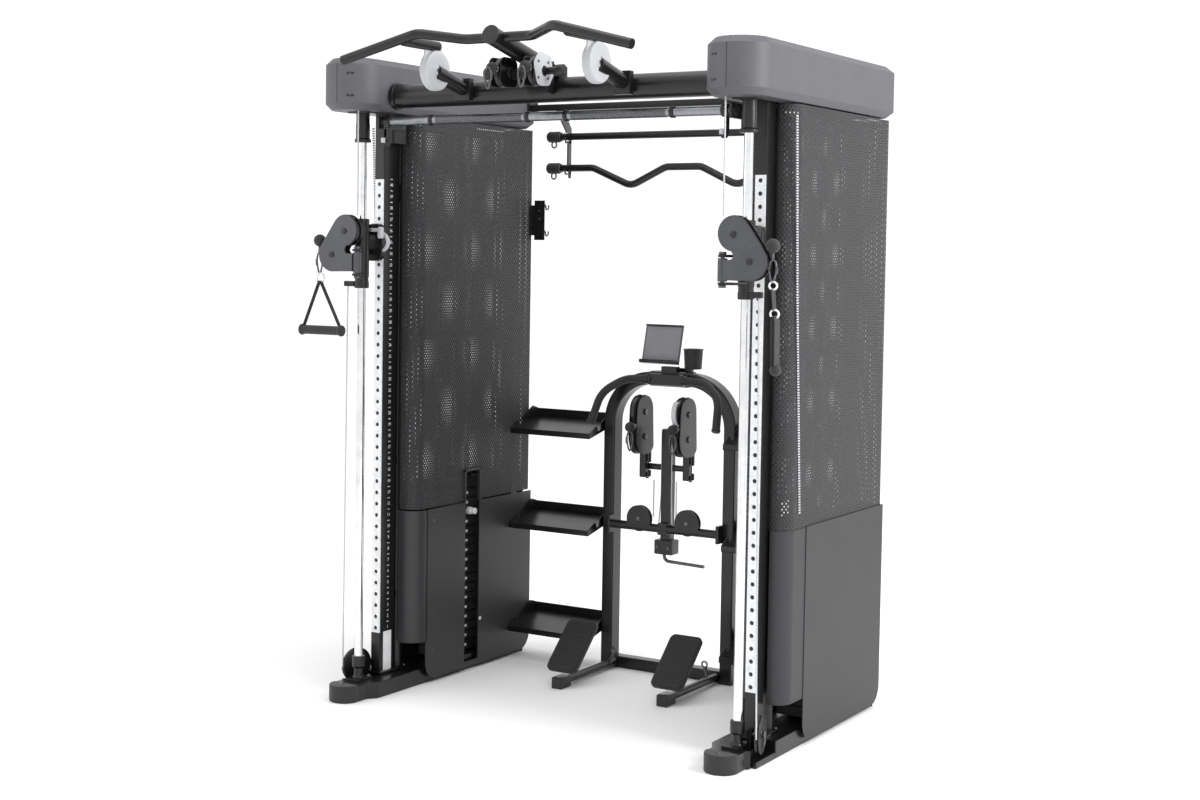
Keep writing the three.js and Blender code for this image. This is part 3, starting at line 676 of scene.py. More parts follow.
def block_row_tree():
    """The same block repeated in equal steps: plates, ribs and marks."""
    tree, inputs, output = new_tree("Row of blocks", (
        ("Size", "NodeSocketVector", (10, 10, 10)), ("Start", "NodeSocketVector", (0, 0, 0)),
        ("Step", "NodeSocketVector", (0, 0, 10)), ("Count", "NodeSocketInt", 5),
        ("Material", "NodeSocketMaterial", None),
    ))
    if inputs is None:
        return tree
    line = add_node(
        tree, "GeometryNodeMeshLine", {"mode": "OFFSET"},
        {"Count": inputs["Count"], "Start Location": inputs["Start"], "Offset": inputs["Step"]},
    )
    block = add_node(tree, "GeometryNodeMeshCube", links={"Size": inputs["Size"]})
    row = add_node(
        tree, "GeometryNodeInstanceOnPoints", links={"Points": line.outputs[0], "Instance": block.outputs[0]}
    )
    end_tree(tree, inputs, output, row.outputs[0])
    return tree


def perforated_strip_tree():
    """A flat strip with a row of squarish holes, standing up with its face towards -Y."""
    tree, inputs, output = new_tree("Perforated strip", (
        ("Size", "NodeSocketVector", (34, 3, 1500)), ("Middle", "NodeSocketVector", (0, 0, 0)),
        ("First hole", "NodeSocketVector", (0, 0, 0)), ("Pitch", "NodeSocketVector", (0, 0, 38.1)),
        ("Holes", "NodeSocketInt", 40), ("Hole radius", "NodeSocketFloat", 6.5),
        ("Material", "NodeSocketMaterial", None),
    ))
    if inputs is None:
        return tree
    strip = add_node(tree, "GeometryNodeMeshCube", links={"Size": inputs["Size"]})
    moved = add_node(
        tree, "GeometryNodeTransform", links={"Geometry": strip.outputs[0], "Translation": inputs["Middle"]}
    )
    line = add_node(
        tree, "GeometryNodeMeshLine", {"mode": "OFFSET"},
        {"Count": inputs["Holes"], "Start Location": inputs["First hole"], "Offset": inputs["Pitch"]},
    )
    drill = add_node(
        tree, "GeometryNodeMeshCylinder", {"Vertices": 8, "Depth": 30.0}, {"Radius": inputs["Hole radius"]}
    )
    laid = add_node(
        tree, "GeometryNodeTransform", {"Rotation": (math.pi / 2, math.pi / 8, 0)},
        {"Geometry": drill.outputs[0]}
    )
    drills = add_node(
        tree, "GeometryNodeInstanceOnPoints", links={"Points": line.outputs[0], "Instance": laid.outputs[0]}
    )
    solid = add_node(tree, "GeometryNodeRealizeInstances", links={"Geometry": drills.outputs[0]})
    holed = add_node(tree, "GeometryNodeMeshBoolean", {"operation": "DIFFERENCE"})
    tree.links.new(moved.outputs[0], holed.inputs["Mesh 1"])
    tree.links.new(solid.outputs[0], holed.inputs["Mesh 2"])
    end_tree(tree, inputs, output, holed.outputs[0])
    return tree


def screw_tree():
    """Socket screws on the points of a mesh, facing along its 'facing' attribute."""
    tree, inputs, output = new_tree("Socket screws", (
        ("Head radius", "NodeSocketFloat", 6.5), ("Head height", "NodeSocketFloat", 4.0),
        ("Material", "NodeSocketMaterial", None),
    ))
    if inputs is None:
        return tree
    facing = add_node(
        tree, "GeometryNodeInputNamedAttribute", {"data_type": "FLOAT_VECTOR", "Name": "facing"}
    )
    turn = add_node(tree, "FunctionNodeAlignRotationToVector", {"axis": "Z"}, {"Vector": facing.outputs[0]})
    head = add_node(
        tree, "GeometryNodeMeshCone", {"Vertices": 24},
        {"Radius Bottom": inputs["Head radius"], "Depth": inputs["Head height"]},
    )
    top = add_node(
        tree, "ShaderNodeMath", {"operation": "MULTIPLY", 1: 0.82}, {0: inputs["Head radius"]}
    )
    tree.links.new(top.outputs[0], head.inputs["Radius Top"])
    socket_size = add_node(
        tree, "ShaderNodeMath", {"operation": "MULTIPLY", 1: 0.45}, {0: inputs["Head radius"]}
    )
    socket = add_node(
        tree, "GeometryNodeMeshCylinder", {"Vertices": 6, "Depth": 2.4}, {"Radius": socket_size.outputs[0]}
    )
    lift = add_node(tree, "ShaderNodeCombineXYZ", links={"Z": inputs["Head height"]})
    socket_up = add_node(
        tree, "GeometryNodeTransform", links={"Geometry": socket.outputs[0], "Translation": lift.outputs[0]}
    )
    screw = add_node(tree, "GeometryNodeMeshBoolean", {"operation": "DIFFERENCE"})
    tree.links.new(head.outputs[0], screw.inputs["Mesh 1"])
    tree.links.new(socket_up.outputs[0], screw.inputs["Mesh 2"])
    placed = add_node(
        tree, "GeometryNodeInstanceOnPoints",
        links={"Points": inputs["Geometry"], "Instance": screw.outputs[0], "Rotation": turn.outputs[0]},
    )
    end_tree(tree, inputs, output, placed.outputs[0])
    return tree


def grow(tree, points, inputs, facing=None):
    """Runs a tree on some points and returns the plain mesh it makes."""
    seed = bpy.data.meshes.new("seed")
    seed.from_pydata([tuple(p) for p in points], [], [])
    if facing is not None:
        attribute = seed.attributes.new("facing", "FLOAT_VECTOR", "POINT")
        for item, value in zip(attribute.data, facing):
            item.vector = value
    holder = bpy.data.objects.new("seed", seed)
    bpy.context.scene.collection.objects.link(holder)
    modifier = holder.modifiers.new("grow", "NODES")
    modifier.node_group = tree
    for item in tree.interface.items_tree:
        if item.in_out == "INPUT" and item.name in inputs:
            modifier[item.identifier] = inputs[item.name]
    holder.update_tag()
    depsgraph = bpy.context.evaluated_depsgraph_get()
    mesh = bpy.data.meshes.new_from_object(holder.evaluated_get(depsgraph), depsgraph=depsgraph)
    bpy.data.objects.remove(holder)
    if not mesh.polygons:
        raise RuntimeError(f"{tree.name} made nothing")
    return mesh


def rows(maker, size, start, step, count, finish):
    """Adds a row of equal blocks to a maker."""
    mesh = grow(block_row_tree(), [(0, 0, 0)], {
        "Size": size, "Start": start, "Step": step, "Count": count, "Material": finish_of(finish),
    })
    return maker.grown(mesh)


def screws(maker, spots, radius=None, height=4.0):
    """Adds socket screws at (point, facing) spots."""
    radius = radius or bpy.context.scene.trainer_sizes.screw_head * 1000
    mesh = grow(
        screw_tree(), [point for point, _ in spots],
        {"Head radius": float(radius), "Head height": float(height), "Material": finish_of("screw")},
        [facing for _, facing in spots],
    )
    return maker.grown(mesh)


# ---- towers --------------------------------------------------------------------------------------


def build_rail(word, side):
    """Base rail with its rubber ends, the cup that holds the guide rod and the bracket of the foot pulley."""
    maker = Maker()
    maker.plate("z", [
        (643, -162), (745, -162), (745, -116), (757, -104), (727, -104), (727, 762), (618, 762), (618, -82),
        (643, -114),
    ], 0.5, 54, "frame", 3)
    maker.block((726, 769), (-92, 40), (0.5, 20), "frame", 2)
    maker.block((720, 770), (34, 762), (0.5, 54), "frame", 4)
    front = rounded([(641.6, -158), (641.6, -215, 51), (746.4, -215, 51), (746.4, -158)], 12)
    maker.plate("z", front, 0, 57, "rubber", 5)
    rear = rounded([(616, 760), (616, 776, 12), (772, 776, 12), (772, 760)], 6)
    maker.plate("z", rear, 0, 57, "rubber", 3)
    maker.block((651, 699), (731, 769), (50, 1922), "frame", 3)
    maker.block((640, 710), (722, 776), (53, 60), "frame", 1)
    maker.block((672, 726), (-128, -48), (53, 62), "frame", 1.5)
    maker.turned((*ROD, 60), (0, 0, 1), [
        (0, 21), (5, 18), (10, 15), (32, 15), (36, 20), (40, 21.5), (68, 21.5), (72.5, 19.5), (72.7, 15),
    ], "frame")
    maker.block((719, 733), (-56, -26), (40, 100), "frame", 2)
    toe = Vector((math.cos(FOOT_TOE), math.sin(FOOT_TOE), 0))
    hub = Vector(FOOT_HUB)
    maker.rod(hub - toe * 26, hub + toe * 13, 7.2, "screw", 1)
    maker.rod(hub + toe * 9.5, hub + toe * 15, 13, "screw", 2)
    maker.block((728, 742), (-20, 60), (50, 66), "frame", 2)
    screws(
        maker, [((694, -186, 57), (0, 0, 1)), ((684, -56, 62), (0, 0, 1)), ((715, -56, 62), (0, 0, 1))],
        7.5, 4,
    )
    maker.piece(f"base_rail_paint_{word}", "frame", [f"base_rail_{word}"], side)


def build_column(word, side):
    """Front tube with its perforated zinc strip, the round tube behind it and the rod's top socket."""
    maker = Maker()
    maker.block((682, 718), (3, 80), (58, 1924), "frame", 2.5)
    maker.block((682, 718), (0, 3.4), (58, 194), "frame", 0.5)
    maker.block((682, 718), (0, 3.4), (1714, 1924), "frame", 0.5)
    maker.block((670, 730), (-6, 138), (56.3, 64), "frame", 1.5)
    maker.rod((700, 112, 60), (700, 112, 1924), 20, "frame", 1)
    maker.block((684, 716), (78, 98), (1640, 1700), "frame", 2)
    for level in (300, 760, 1220):
        maker.block((688, 712), (78, 96), (level, level + 24), "frame", 2)
    maker.turned((*ROD, 1828.5), (0, 0, 1), [
        (0, 16), (0.5, 25), (3, 27), (10, 27), (14, 23), (60, 23), (62, 22), (98, 22),
    ], "frame")
    maker.block((660, 742), (-116, 140), (1923, 1933), "frame", 1.5)
    maker.block((662, 740), (-91, 13), (1930, 2036), "frame", 2)
    mesh = grow(perforated_strip_tree(), [(0, 0, 0)], {
        "Size": (34.0, 3.2, 1518.0), "Middle": (COLUMN_X, 1.6, 954.0),
        "First hole": (COLUMN_X, 0.0, FIRST_HOLE), "Pitch": (0.0, 0.0, HOLE_PITCH),
        "Holes": HOLE_COUNT, "Hole radius": 7.0, "Material": finish_of("zinc"),
    })
    maker.grown(mesh)
    maker.block((690, 710), (2.5, 3.1), (196, 1712), "nylon", 0)
    rows(maker, (0.5, 11, 2.2), (681.8, 42, FIRST_HOLE + 17), (0, 0, HOLE_PITCH), HOLE_COUNT, "film")
    maker.block((681.6, 682.2), (19, 62), (64, 196), "film", 0.1)
    spots = [((x, y, 64), (0, 0, 1)) for x in (676, 724) for y in (4, 126)]
    screws(maker, spots, 5.5, 4)
    maker.piece(f"column_paint_{word}", "frame", [f"column_{word}"], side)
    build_numbers(word, side)


def build_numbers(word, side):
    """Position numbers beside the index holes, on the column's inner face."""
    size = 15.0
    curve = bpy.data.curves.new(f"numbers_{word}", "FONT")
    curve.body = "\n".join(str(HOLE_COUNT - i) for i in range(HOLE_COUNT))
    curve.size = size
    curve.space_line = HOLE_PITCH / size
    curve.align_x = "CENTER"
    curve.extrude = 0.15
    curve.resolution_u = 2
    holder = bpy.data.objects.new(f"numbers_{word}", curve)
    bpy.context.scene.collection.objects.link(holder)
    depsgraph = bpy.context.evaluated_depsgraph_get()
    mesh = bpy.data.meshes.new_from_object(holder.evaluated_get(depsgraph), depsgraph=depsgraph)
    bpy.data.objects.remove(holder)
    heights = [v.co.y for v in mesh.vertices]
    top = max(heights)
    last = FIRST_HOLE + (HOLE_COUNT - 1) * HOLE_PITCH
    for vert in mesh.vertices:
        x, y, z = vert.co
        vert.co = place((side * 681.7 + side * -z, 42 - side * x, last + 4 + y - top))
    mesh.materials.clear()
    mesh.materials.append(finish_of("film"))
    obj = bpy.data.objects.new(f"position_numbers_{word}", mesh)
    bpy.context.scene.collection.objects.link(obj)
    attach(obj, "frame")


def build_guide_rod(word, side):
    """Ground and chromed rod that the carriage runs on."""
    maker = Maker()
    maker.rod((*ROD, 132), (*ROD, 1829), 14, "chrome", 1, sides=56)
    maker.piece(f"guide_rod_chrome_{word}", "frame", [f"guide_rod_{word}"], side)


HOOD_LAYERS = ((1928, 19), (1946.5, 0.6), (1948, 0), (2072, 0), (2073.5, 0.6), (2091, 19), (2093, 21.5))


def hood_outline(inset, steps=22):
    """Plan of the hood: a half round nose and a square rear with rounded corners."""
    middle, half = HOOD_MIDDLE, HOOD_HALF - inset
    front = HOOD_FRONT + HOOD_HALF
    points = [
        (middle - half * math.cos(math.pi * i / steps), front - half * math.sin(math.pi * i / steps))
        for i in range(steps + 1)
    ]
    rear = rounded([
        (middle + half, front), (middle + half, 787 - inset, 26), (middle - half, 787 - inset, 26),
        (middle - half, front),
    ], 6)[1:-1]
    return points + rear


def build_hood(word, side):
    """Moulded hood with chamfered edges, a seam down its nose and two screws in oval recesses, whose shade is
    painted as dark rubber capsules.
    """
    maker = Maker()
    part = bmesh.new()
    rings = [[part.verts.new((x, y, z)) for x, y in hood_outline(inset)] for z, inset in HOOD_LAYERS]
    count = len(rings[0])
    for ring, following in zip(rings, rings[1:]):
        for i in range(count):
            j = (i + 1) % count
            part.faces.new((ring[i], ring[j], following[j], following[i]))
    part.faces.new(list(reversed(rings[0])))
    part.faces.new(rings[-1])
    maker.take(part, "hood")
    maker.block((696.7, 698.3), (-225.5, -221), (1948, 2072), "rubber", 0)
    maker.block((696.7, 698.3), (-206, 786), (2092, 2093.3), "rubber", 0)
    nose = Vector((HOOD_MIDDLE, HOOD_FRONT + HOOD_HALF, 0))
    for level in (2042, 1971):
        spot = Vector((652, -214, 0))
        out = (spot - nose).normalized()
        along = Vector((-out.y, out.x, 0))
        centre = nose + out * 94.6 + Vector((0, 0, level))
        # Dark rubber capsule round the screw: painted shade of the oval recess.
        maker.rod(centre - along * 14, centre + along * 14, 6, "rubber", 5)
        screws(maker, [(centre + out * 5.2, out)], 4.2, 1.2)
    maker.piece(f"hood_shell_{word}", "frame", [f"hood_{word}"], side)


def skin_line(inset, inner_front, outer_front):
    """Plan of the tower skin, from its inner front edge round the back to its outer front edge."""
    return rounded([
        (inner_front, 90 + inset), (605 + inset, 90 + inset, 50 - inset),
        (605 + inset, 790 - inset, 20 - inset), (780 - inset, 790 - inset, 20 - inset),
        (780 - inset, 60 + inset, 52 - inset), (outer_front, 60 + inset),
    ], 8)


def build_screen(word, side):
    """Mesh cloth stretched round the tower from its skirt to the hood, with its edge channels."""
    line = [Vector(point) for point in skin_line(1.2, 676, 724)]
    fine = [line[0]]
    for a, b in zip(line, line[1:]):
        for y in CLOTH_SLOT:
            if (a.y - y) * (b.y - y) < 0 and b.x < 650:
                fine.append(a.lerp(b, (y - a.y) / (b.y - a.y)))
        fine.append(b)
    levels = [604, 640, CLOTH_SLOT_TOP] + [760 + 89.4 * i for i in range(14)]
    reach = [0.0]
    for a, b in zip(fine, fine[1:]):
        reach.append(reach[-1] + (b - a).length)
    verts, faces, uvs = [], [], []
    for z in levels:
        verts += [place((side * p.x, p.y, z)) for p in fine]
        uvs += [(r / 1000, z / 1000) for r in reach]
    width = len(fine)
    for row in range(len(levels) - 1):
        for i in range(width - 1):
            middle = (fine[i] + fine[i + 1]) / 2
            over_slot = middle.x < 650 and CLOTH_SLOT[0] < middle.y < CLOTH_SLOT[1]
            if over_slot and levels[row] < CLOTH_SLOT_TOP:
                continue
            at = row * width + i
            quad = (at, at + 1, at + 1 + width, at + width)
            faces.append(quad if side < 0 else tuple(reversed(quad)))
    mesh = bpy.data.meshes.new(f"screen_cloth_{word}")
    mesh.from_pydata(verts, [], faces)
    layer = mesh.uv_layers.new(name="UVMap")
    for loop in mesh.loops:
        layer.data[loop.index].uv = uvs[loop.vertex_index]
    mesh.materials.append(finish_of("mesh"))
    mesh.shade_smooth()
    cloth = bpy.data.objects.new(f"screen_cloth_{word}", mesh)
    bpy.context.scene.collection.objects.link(cloth)
    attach(cloth, "frame")
    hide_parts(f"screen_{word}")
    maker = Maker()
    maker.block((672, 680), (87, 95), (602, 1924), "frame", 1)
    maker.block((720, 728), (57, 65), (672, 1924), "frame", 1)
    for level in (1180, 1890):
        maker.block((624, 760), (700, 716), (level, level + 16), "frame", 1.5)
        maker.block((624, 636), (140, 716), (level, level + 16), "frame", 1.5)
        maker.block((752, 764), (140, 716), (level, level + 16), "frame", 1.5)
    for z in (1880, 1500, 1120, 740):
        maker.block((716, 734), (60, 78), (z, z + 26), "rubber", 2)
    for start, step, count in (
        ((781.4, 68, 1886), (0, 0.4, -8), 67), ((781.4, 95, 1350), (0, 0.575, -8), 80)
    ):
        rows(maker, (0.8, 13, 4.6), start, step, count, "light")
    channels = maker.piece(f"screen_channels_{word}", "frame", (), side)


def wall_outline(line, thickness):
    """An open line in plan as a closed outline, thickened to its left."""
    points = [Vector(p) for p in line]
    left = []
    for i, point in enumerate(points):
        way = (points[min(i + 1, len(points) - 1)] - points[max(i - 1, 0)]).normalized()
        left.append(point + Vector((-way.y, way.x)) * thickness)
    return [tuple(p) for p in points] + [tuple(p) for p in reversed(left)]


def side_outline(front, top, low, radius):
    """Side view of a skirt with rounded bottom corners."""
    return rounded([(front, top), (front, low, radius), (788, low, radius), (788, top)], 10)


def build_covers(word, side):
    """Lower skirts: a tall outer and a lower inner moulding with rounded bottom corners."""
    maker = Maker()
    maker.plate("x", side_outline(190, 670, 14, 60), 780.6, 783.5, "cover", 0.8)
    corner = rounded([(724, 58.5), (781.2, 58.5, 53), (781.2, 192)], 12)
    maker.plate("z", wall_outline(corner, 2.4), 150, 668, "cover", 0.8)
    rear = rounded([(783.4, 740), (783.4, 793.4, 24), (640, 793.4)], 10)
    maker.plate("z", wall_outline(rear, 2.8), 90, 670, "cover", 0.8)
    maker.block((640, 770), (790.6, 793.4), (22, 92), "cover", 0.8)
    screws(maker, [((783.5, 740, z), (1, 0, 0)) for z in (110, 620)], 4.5, 1.6)
    maker.piece(f"outer_skirt_{word}", "frame", [f"outer_cover_{word}"], side)
    maker = Maker()
    slot_front, slot_rear, slot_low = 376, 459, 35
    maker.plate("x", rounded([
        (150, 600), (150, 14, 60), (slot_front, 14), (slot_front, 600),
    ], 10), 601.5, 604.5, "cover", 0.8)
    maker.plate("x", rounded([
        (slot_rear, 600), (slot_rear, 14), (788, 14, 60), (788, 600),
    ], 10), 601.5, 604.5, "cover", 0.8)
    bridge = [
        (slot_front - 2, slot_low), (slot_front - 2, 14.5), (slot_rear + 2, 14.5), (slot_rear + 2, slot_low),
    ]
    maker.plate("x", bridge, 601.7, 604.3, "cover", 0.6)
    front = rounded([(676, 86.4), (601.5, 86.4, 53), (601.5, 156)], 12)
    maker.plate("z", wall_outline(front, -2.8), 150, 600, "cover", 0.8)
    maker.block((604, 612), (slot_front - 5, slot_front), (slot_low, 712), "frame", 0.8)
    maker.block((604, 612), (slot_rear, slot_rear + 5), (slot_low, 712), "frame", 0.8)
    maker.block((600, 612), (slot_front - 8, slot_front + 1), (600, 716), "cover", 1)
    maker.block((600, 612), (slot_rear - 1, slot_rear + 8), (600, 716), "cover", 1)
    maker.block((600, 612), (slot_front - 8, slot_rear + 8), (708, 717), "cover", 1)
    screws(maker, [((601.5, y, z), (-1, 0, 0)) for y in (190, 740) for z in (110, 560)], 4.5, 1.6)
    maker.rod((600, 470, 176), (606, 470, 176), 7, "zinc", 1.5)
    maker.piece(f"inner_skirt_{word}", "frame", [f"inner_cover_{word}"], side)


def build_stack(word, side):
    """Cast plates on two chromed rods, the lifting head with its selector rod, and the selector pin."""
    gap = bpy.context.scene.trainer_sizes.plate_gap * 1000
    x, y = STACK
    first, step = PLATE_BOTTOM + PLATE_PITCH / 2, (0, 0, PLATE_PITCH)
    maker = Maker()
    rows(maker, (90, 250, PLATE_PITCH - gap), (x, y, first - gap / 2), step, PLATE_COUNT, "iron")
    rows(maker, (0.8, 26, 9), (647.8, 440, first), step, PLATE_COUNT, "film")
    for rod_y in STACK_RODS:
        maker.rod((x, rod_y, 57), (x, rod_y, 1912), 10, "chrome", 1)
    maker.block((673, 713), (314, 522), (1908, 1920), "frame", 2)
    for rod_y in STACK_RODS:
        maker.rod((x, rod_y, 57), (x, rod_y, PLATE_BOTTOM), 20, "rubber", 1)
    maker.piece(f"stack_plates_{word}", "frame", [f"weight_stack_{word}"], side)
    maker = Maker()
    maker.block((648, 738), (293, 543), (640.3, 678), "iron", 2.5)
    maker.rod((x, y, 85), (x, y, 645), 9, "screw", 1)
    maker.block((681, 705), (396, 440), (677, 724), "frame", 3)
    maker.rod((676, y, 704), (710, y, 704), 6, "screw", 1)
    for rod_y in STACK_RODS:
        maker.rod((x, rod_y, 676), (x, rod_y, 690), 17, "nylon", 2)
    maker.piece(f"stack_head_paint_{word}", f"stack_head_{word}", [f"stack_head_{word}"], side)
    maker = Maker()
    maker.rod((622, 417.5, 566), (647, 417.5, 566), 5, "zinc", 1)
    maker.turned((588, 417.5, 566), (1, 0, 0), [
        (0, 7), (1.5, 10), (4, 11.5), (10, 11.5), (14, 9.5), (18, 12.5), (32, 14), (34.5, 12.5), (35, 8),
    ], "zinc")
    maker.piece(f"selector_pin_steel_{word}", f"selector_pin_{word}",
                [f"selector_pin_{word}"], side)
    maker = Maker()
    low, high, rise = 722.0, 1926.0, 1050
    line = [(x, y, low + (high - low) * i / 12) for i in range(13)]
    maker.swept(line, CABLE_RADIUS, "cable")
    lift = maker.piece(f"lift_cable_{word}", "frame", (), side)
    squash_cable(lift)


def squash_cable(obj):
    """Drops the shading modifier from the lift cable and gives it a mesh of its own."""
    freeze(obj)
    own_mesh(obj)


def freeze(obj):
    """Drops the shading modifier from a thin piece whose mesh the poses change."""
    for modifier in list(obj.modifiers):
        obj.modifiers.remove(modifier)


# ---- carriages -----------------------------------------------------------------------------------


def build_carriage(word, side):
    """Sleeve on the guide rod with its ears, index block and finger loop."""
    maker = Maker()
    x, y = ROD
    maker.turned((x, y, 1353), (0, 0, 1), [
        (0, 17), (0, 22), (2, 24), (20, 24), (22, 22.5), (36, 22.5), (38, 24), (189, 24), (191, 22.5),
        (205, 22.5),
        (207, 24), (225, 24), (227, 22), (227, 17),
    ], "frame")
    ear = [
        (684, -100), (720, -100), (690, -150), (672, -173), (656, -172), (649, -160), (652, -146), (672, -128)
    ]
    for low in (1394, 1473):
        maker.plate("z", rounded([(u, v, 5) for u, v in ear], 4), low, low + 8, "frame", 1.2)
    maker.rod((*SWIVEL, 1388), (*SWIVEL, 1487), 6, "screw", 1)
    maker.rod((*SWIVEL, 1481), (*SWIVEL, 1489), 11, "screw", 2)
    maker.rod((*SWIVEL, 1386), (*SWIVEL, 1394), 11, "screw", 2)
    maker.block((684, 716), (-34, -6), (PIN_Z - 18, PIN_Z + 18), "frame", 3)
    maker.rod((COLUMN_X, -8, PIN_Z), (COLUMN_X, -4.5, PIN_Z), 14, "nylon", 1)
    maker.block((714, 722), (-92, -6), (PIN_Z - 18, PIN_Z + 18), "frame", 2)
    back = rounded([(664, 1442, 30), (724, 1442, 12), (724, 1566, 20), (664, 1566, 26)], 6)
    maker.plate("y", back, -33, -8, "frame", 3)
    maker.block((714, 722), (-92, -10), (1464, 1482), "frame", 2)
    maker.block((720, 762), (-106, -90), (1358, 1376), "frame", 3)
    grip = [(-7, -3), (-6, -4), (6, -4), (7, -3), (7, 3), (6, 4), (-6, 4), (-7, 3)]
    arc = [
        (684 - 38 * math.sin(math.pi * i / 12), -20, 1505 + 32 * math.cos(math.pi * i / 12))
        for i in range(13)
    ]
    maker.swept(arc, grip, "light", bend=4, up=(0, 1, 0))
    screws(
        maker, [((722, -50, PIN_Z), (1, 0, 0)), ((722, -72, PIN_Z), (1, 0, 0)), ((722, -50, 1473), (1, 0, 0))],
        5, 3,
    )
    maker.piece(f"carriage_paint_{word}", f"carriage_{word}", [f"carriage_{word}"], side)
    maker = Maker()
    maker.rod((COLUMN_X, -46, PIN_Z), (COLUMN_X, -0.4, PIN_Z), 4.6, "zinc", 0.6)
    maker.block((656, 704), (-46, -38), (PIN_Z - 6, PIN_Z + 6), "zinc", 2)
    lever = rounded(
        [(652, PIN_Z + 10, 5), (665, PIN_Z + 10, 5), (664, PIN_Z - 28, 5), (652, PIN_Z - 28, 5)], 5
    )
    maker.plate("y", lever, -54, -34, "light", 2)
    maker.piece(f"pull_pin_steel_{word}", f"pop_pin_{word}", [f"pop_pin_{word}"], side)


def cheek_outline(grow=0.0, steps=18):
    """Outline of a cheek plate: a lobe round each pulley, notched above the hinge block."""
    def arc(centre, radius, start, end):
        return [
            (centre[0] + (radius + grow) * math.cos(math.radians(start + (end - start) * i / steps)),
             centre[1] + (radius + grow) * math.sin(math.radians(start + (end - start) * i / steps)))
            for i in range(steps + 1)
        ]
    notch = [
        (699, 1487), (703, 1482), (704, 1476), (701, 1470), (695, 1466.5), (684, 1466), (672, 1466),
        (672, 1409),
        (684, 1408),
    ]
    return arc((704, 1541), 50, 34, 262) + notch + arc((756, 1462), 54, 262, 394)


def build_housing(word, side):
    """Two cheek plates with dark rims on a hinge barrel, holding the pulleys of the free cable end."""
    maker = Maker()
    upper, lower = (704, 1538), (756, 1462)
    maker.plate("y", cheek_outline(), -175, -171.5, "plate", 0.9)
    maker.plate("y", cheek_outline(), -147, -143.5, "plate", 0.9)
    maker.plate("y", cheek_outline(1.6), -171.5, -168.4, "nylon", 0.5)
    maker.plate("y", cheek_outline(1.6), -150.1, -147, "nylon", 0.5)
    maker.block((672, 712), (-171, -145), (1409, 1465), "frame", 4)
    maker.rod((*SWIVEL, 1404), (*SWIVEL, 1470.5), 14, "plate", 2)
    for centre in (upper, lower):
        maker.rod((centre[0], -179, centre[1]), (centre[0], -139, centre[1]), 5, "screw", 1)
        maker.rod((centre[0], -180, centre[1]), (centre[0], -174, centre[1]), 9, "nylon", 2)
        maker.rod((centre[0], -145, centre[1]), (centre[0], -138, centre[1]), 9, "nylon", 2)
    for u, v in ((800, 1444), (682, 1580)):
        maker.rod((u, -172, v), (u, -146, v), 4, "screw", 1)
    maker.piece(
        f"cheek_plates_{word}", f"pulley_housing_{word}", [f"pulley_housing_{word}"], side
    )
    for level, (x, z) in (("upper", upper), ("lower", lower)):
        maker = Maker()
        wheel(maker, (x, -158, z), (0, 1, 0), 43, 16, 5.6)
        maker.piece(f"{level}_pulley_nylon_{word}", f"{level}_pulley_{word}",
                    [f"{level}_pulley_{word}"], side)


def wheel(maker, centre, axis, radius, width, bore, finish="nylon"):
    """A grooved pulley with a raised hub and rounded lips."""
    half = width / 2
    profile = [
        (-half, bore + 9), (-half, bore + 1), (-half + 0.5, bore), (half - 0.5, bore), (half, bore + 1),
        (half, bore + 9), (half - 2.5, bore + 11), (half - 2.5, radius - 7), (half, radius - 5),
        (half, radius - 1),
        (half - 1, radius), (half - 1.8, radius - 0.6), (0.9, radius - 4), (0, radius - 4.3),
        (-0.9, radius - 4),
        (-half + 1.8, radius - 0.6), (-half + 1, radius), (-half, radius - 1), (-half, radius - 5),
        (-half + 2.5, radius - 7), (-half + 2.5, bore + 11), (-half, bore + 9),
    ]
    maker.turned(centre, axis, profile, finish, 56)


def build_foot_pulley(word, side):
    """Pulley beside the base rail that turns the cable up into the tower."""
    maker = Maker()
    axis = (math.cos(FOOT_TOE), math.sin(FOOT_TOE), 0)
    wheel(maker, FOOT_HUB, axis, 57, 14, 8.4)
    maker.piece(
        f"foot_pulley_nylon_{word}", f"foot_pulley_{word}", [f"foot_pulley_{word}"], side
    )


def build_cables(word, side):
    """The two cable runs that end at the carriage, each drawn straight."""
    reach = 58
    x, y, z = FOOT_HUB
    foot = (x + reach * math.sin(FOOT_TOE), y - reach * math.cos(FOOT_TOE), z)
    runs = {
        "upper": ((*SWIVEL, 1590), (*SWIVEL, 1927)),
        "lower": ((750, -98, 1357.5), foot),
    }
    for level, (at_carriage, far) in runs.items():
        maker = Maker()
        start, end = Vector(at_carriage), Vector(far)
        line = [start.lerp(end, i / 16) for i in range(17)]
        maker.swept(line, CABLE_RADIUS, "cable")
        cable = maker.piece(
            f"{level}_cable_jacket_{word}", "frame", [f"{level}_cable_{word}"], side
        )
        freeze(cable)
        cable.parent = None
        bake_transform(cable)


# ---- handles -------------------------------------------------------------------------------------


def carabiner(maker, top, length, finish="screw"):
    """A pear shaped snap hook with a straight gate."""
    x, y, z = top
    line = []
    for i in range(24):
        angle = 2 * math.pi * i / 24
        width = 11 + 4 * math.cos(angle)
        line.append(Vector((x + width * math.sin(angle), y, z - length / 2 + length / 2 * math.cos(angle))))
    maker.swept(line, 3, finish, closed=True)
    maker.rod((x + 12.5, y, z - length * 0.62), (x + 13.5, y, z - length * 0.3), 3.8, finish, 1)


def cable_end(maker, x, y):
    """Clamp sleeve, ball stop and eye at the free end of the cable."""
    maker.rod((x - 15, y, 1507), (x + 18, y, 1507), 12.5, "nylon", 4)
    maker.ball((x, y, 1507), 20.5, "rubber")
    maker.rod((x, y, 1488), (x, y, 1464), 5, "screw", 1.5)


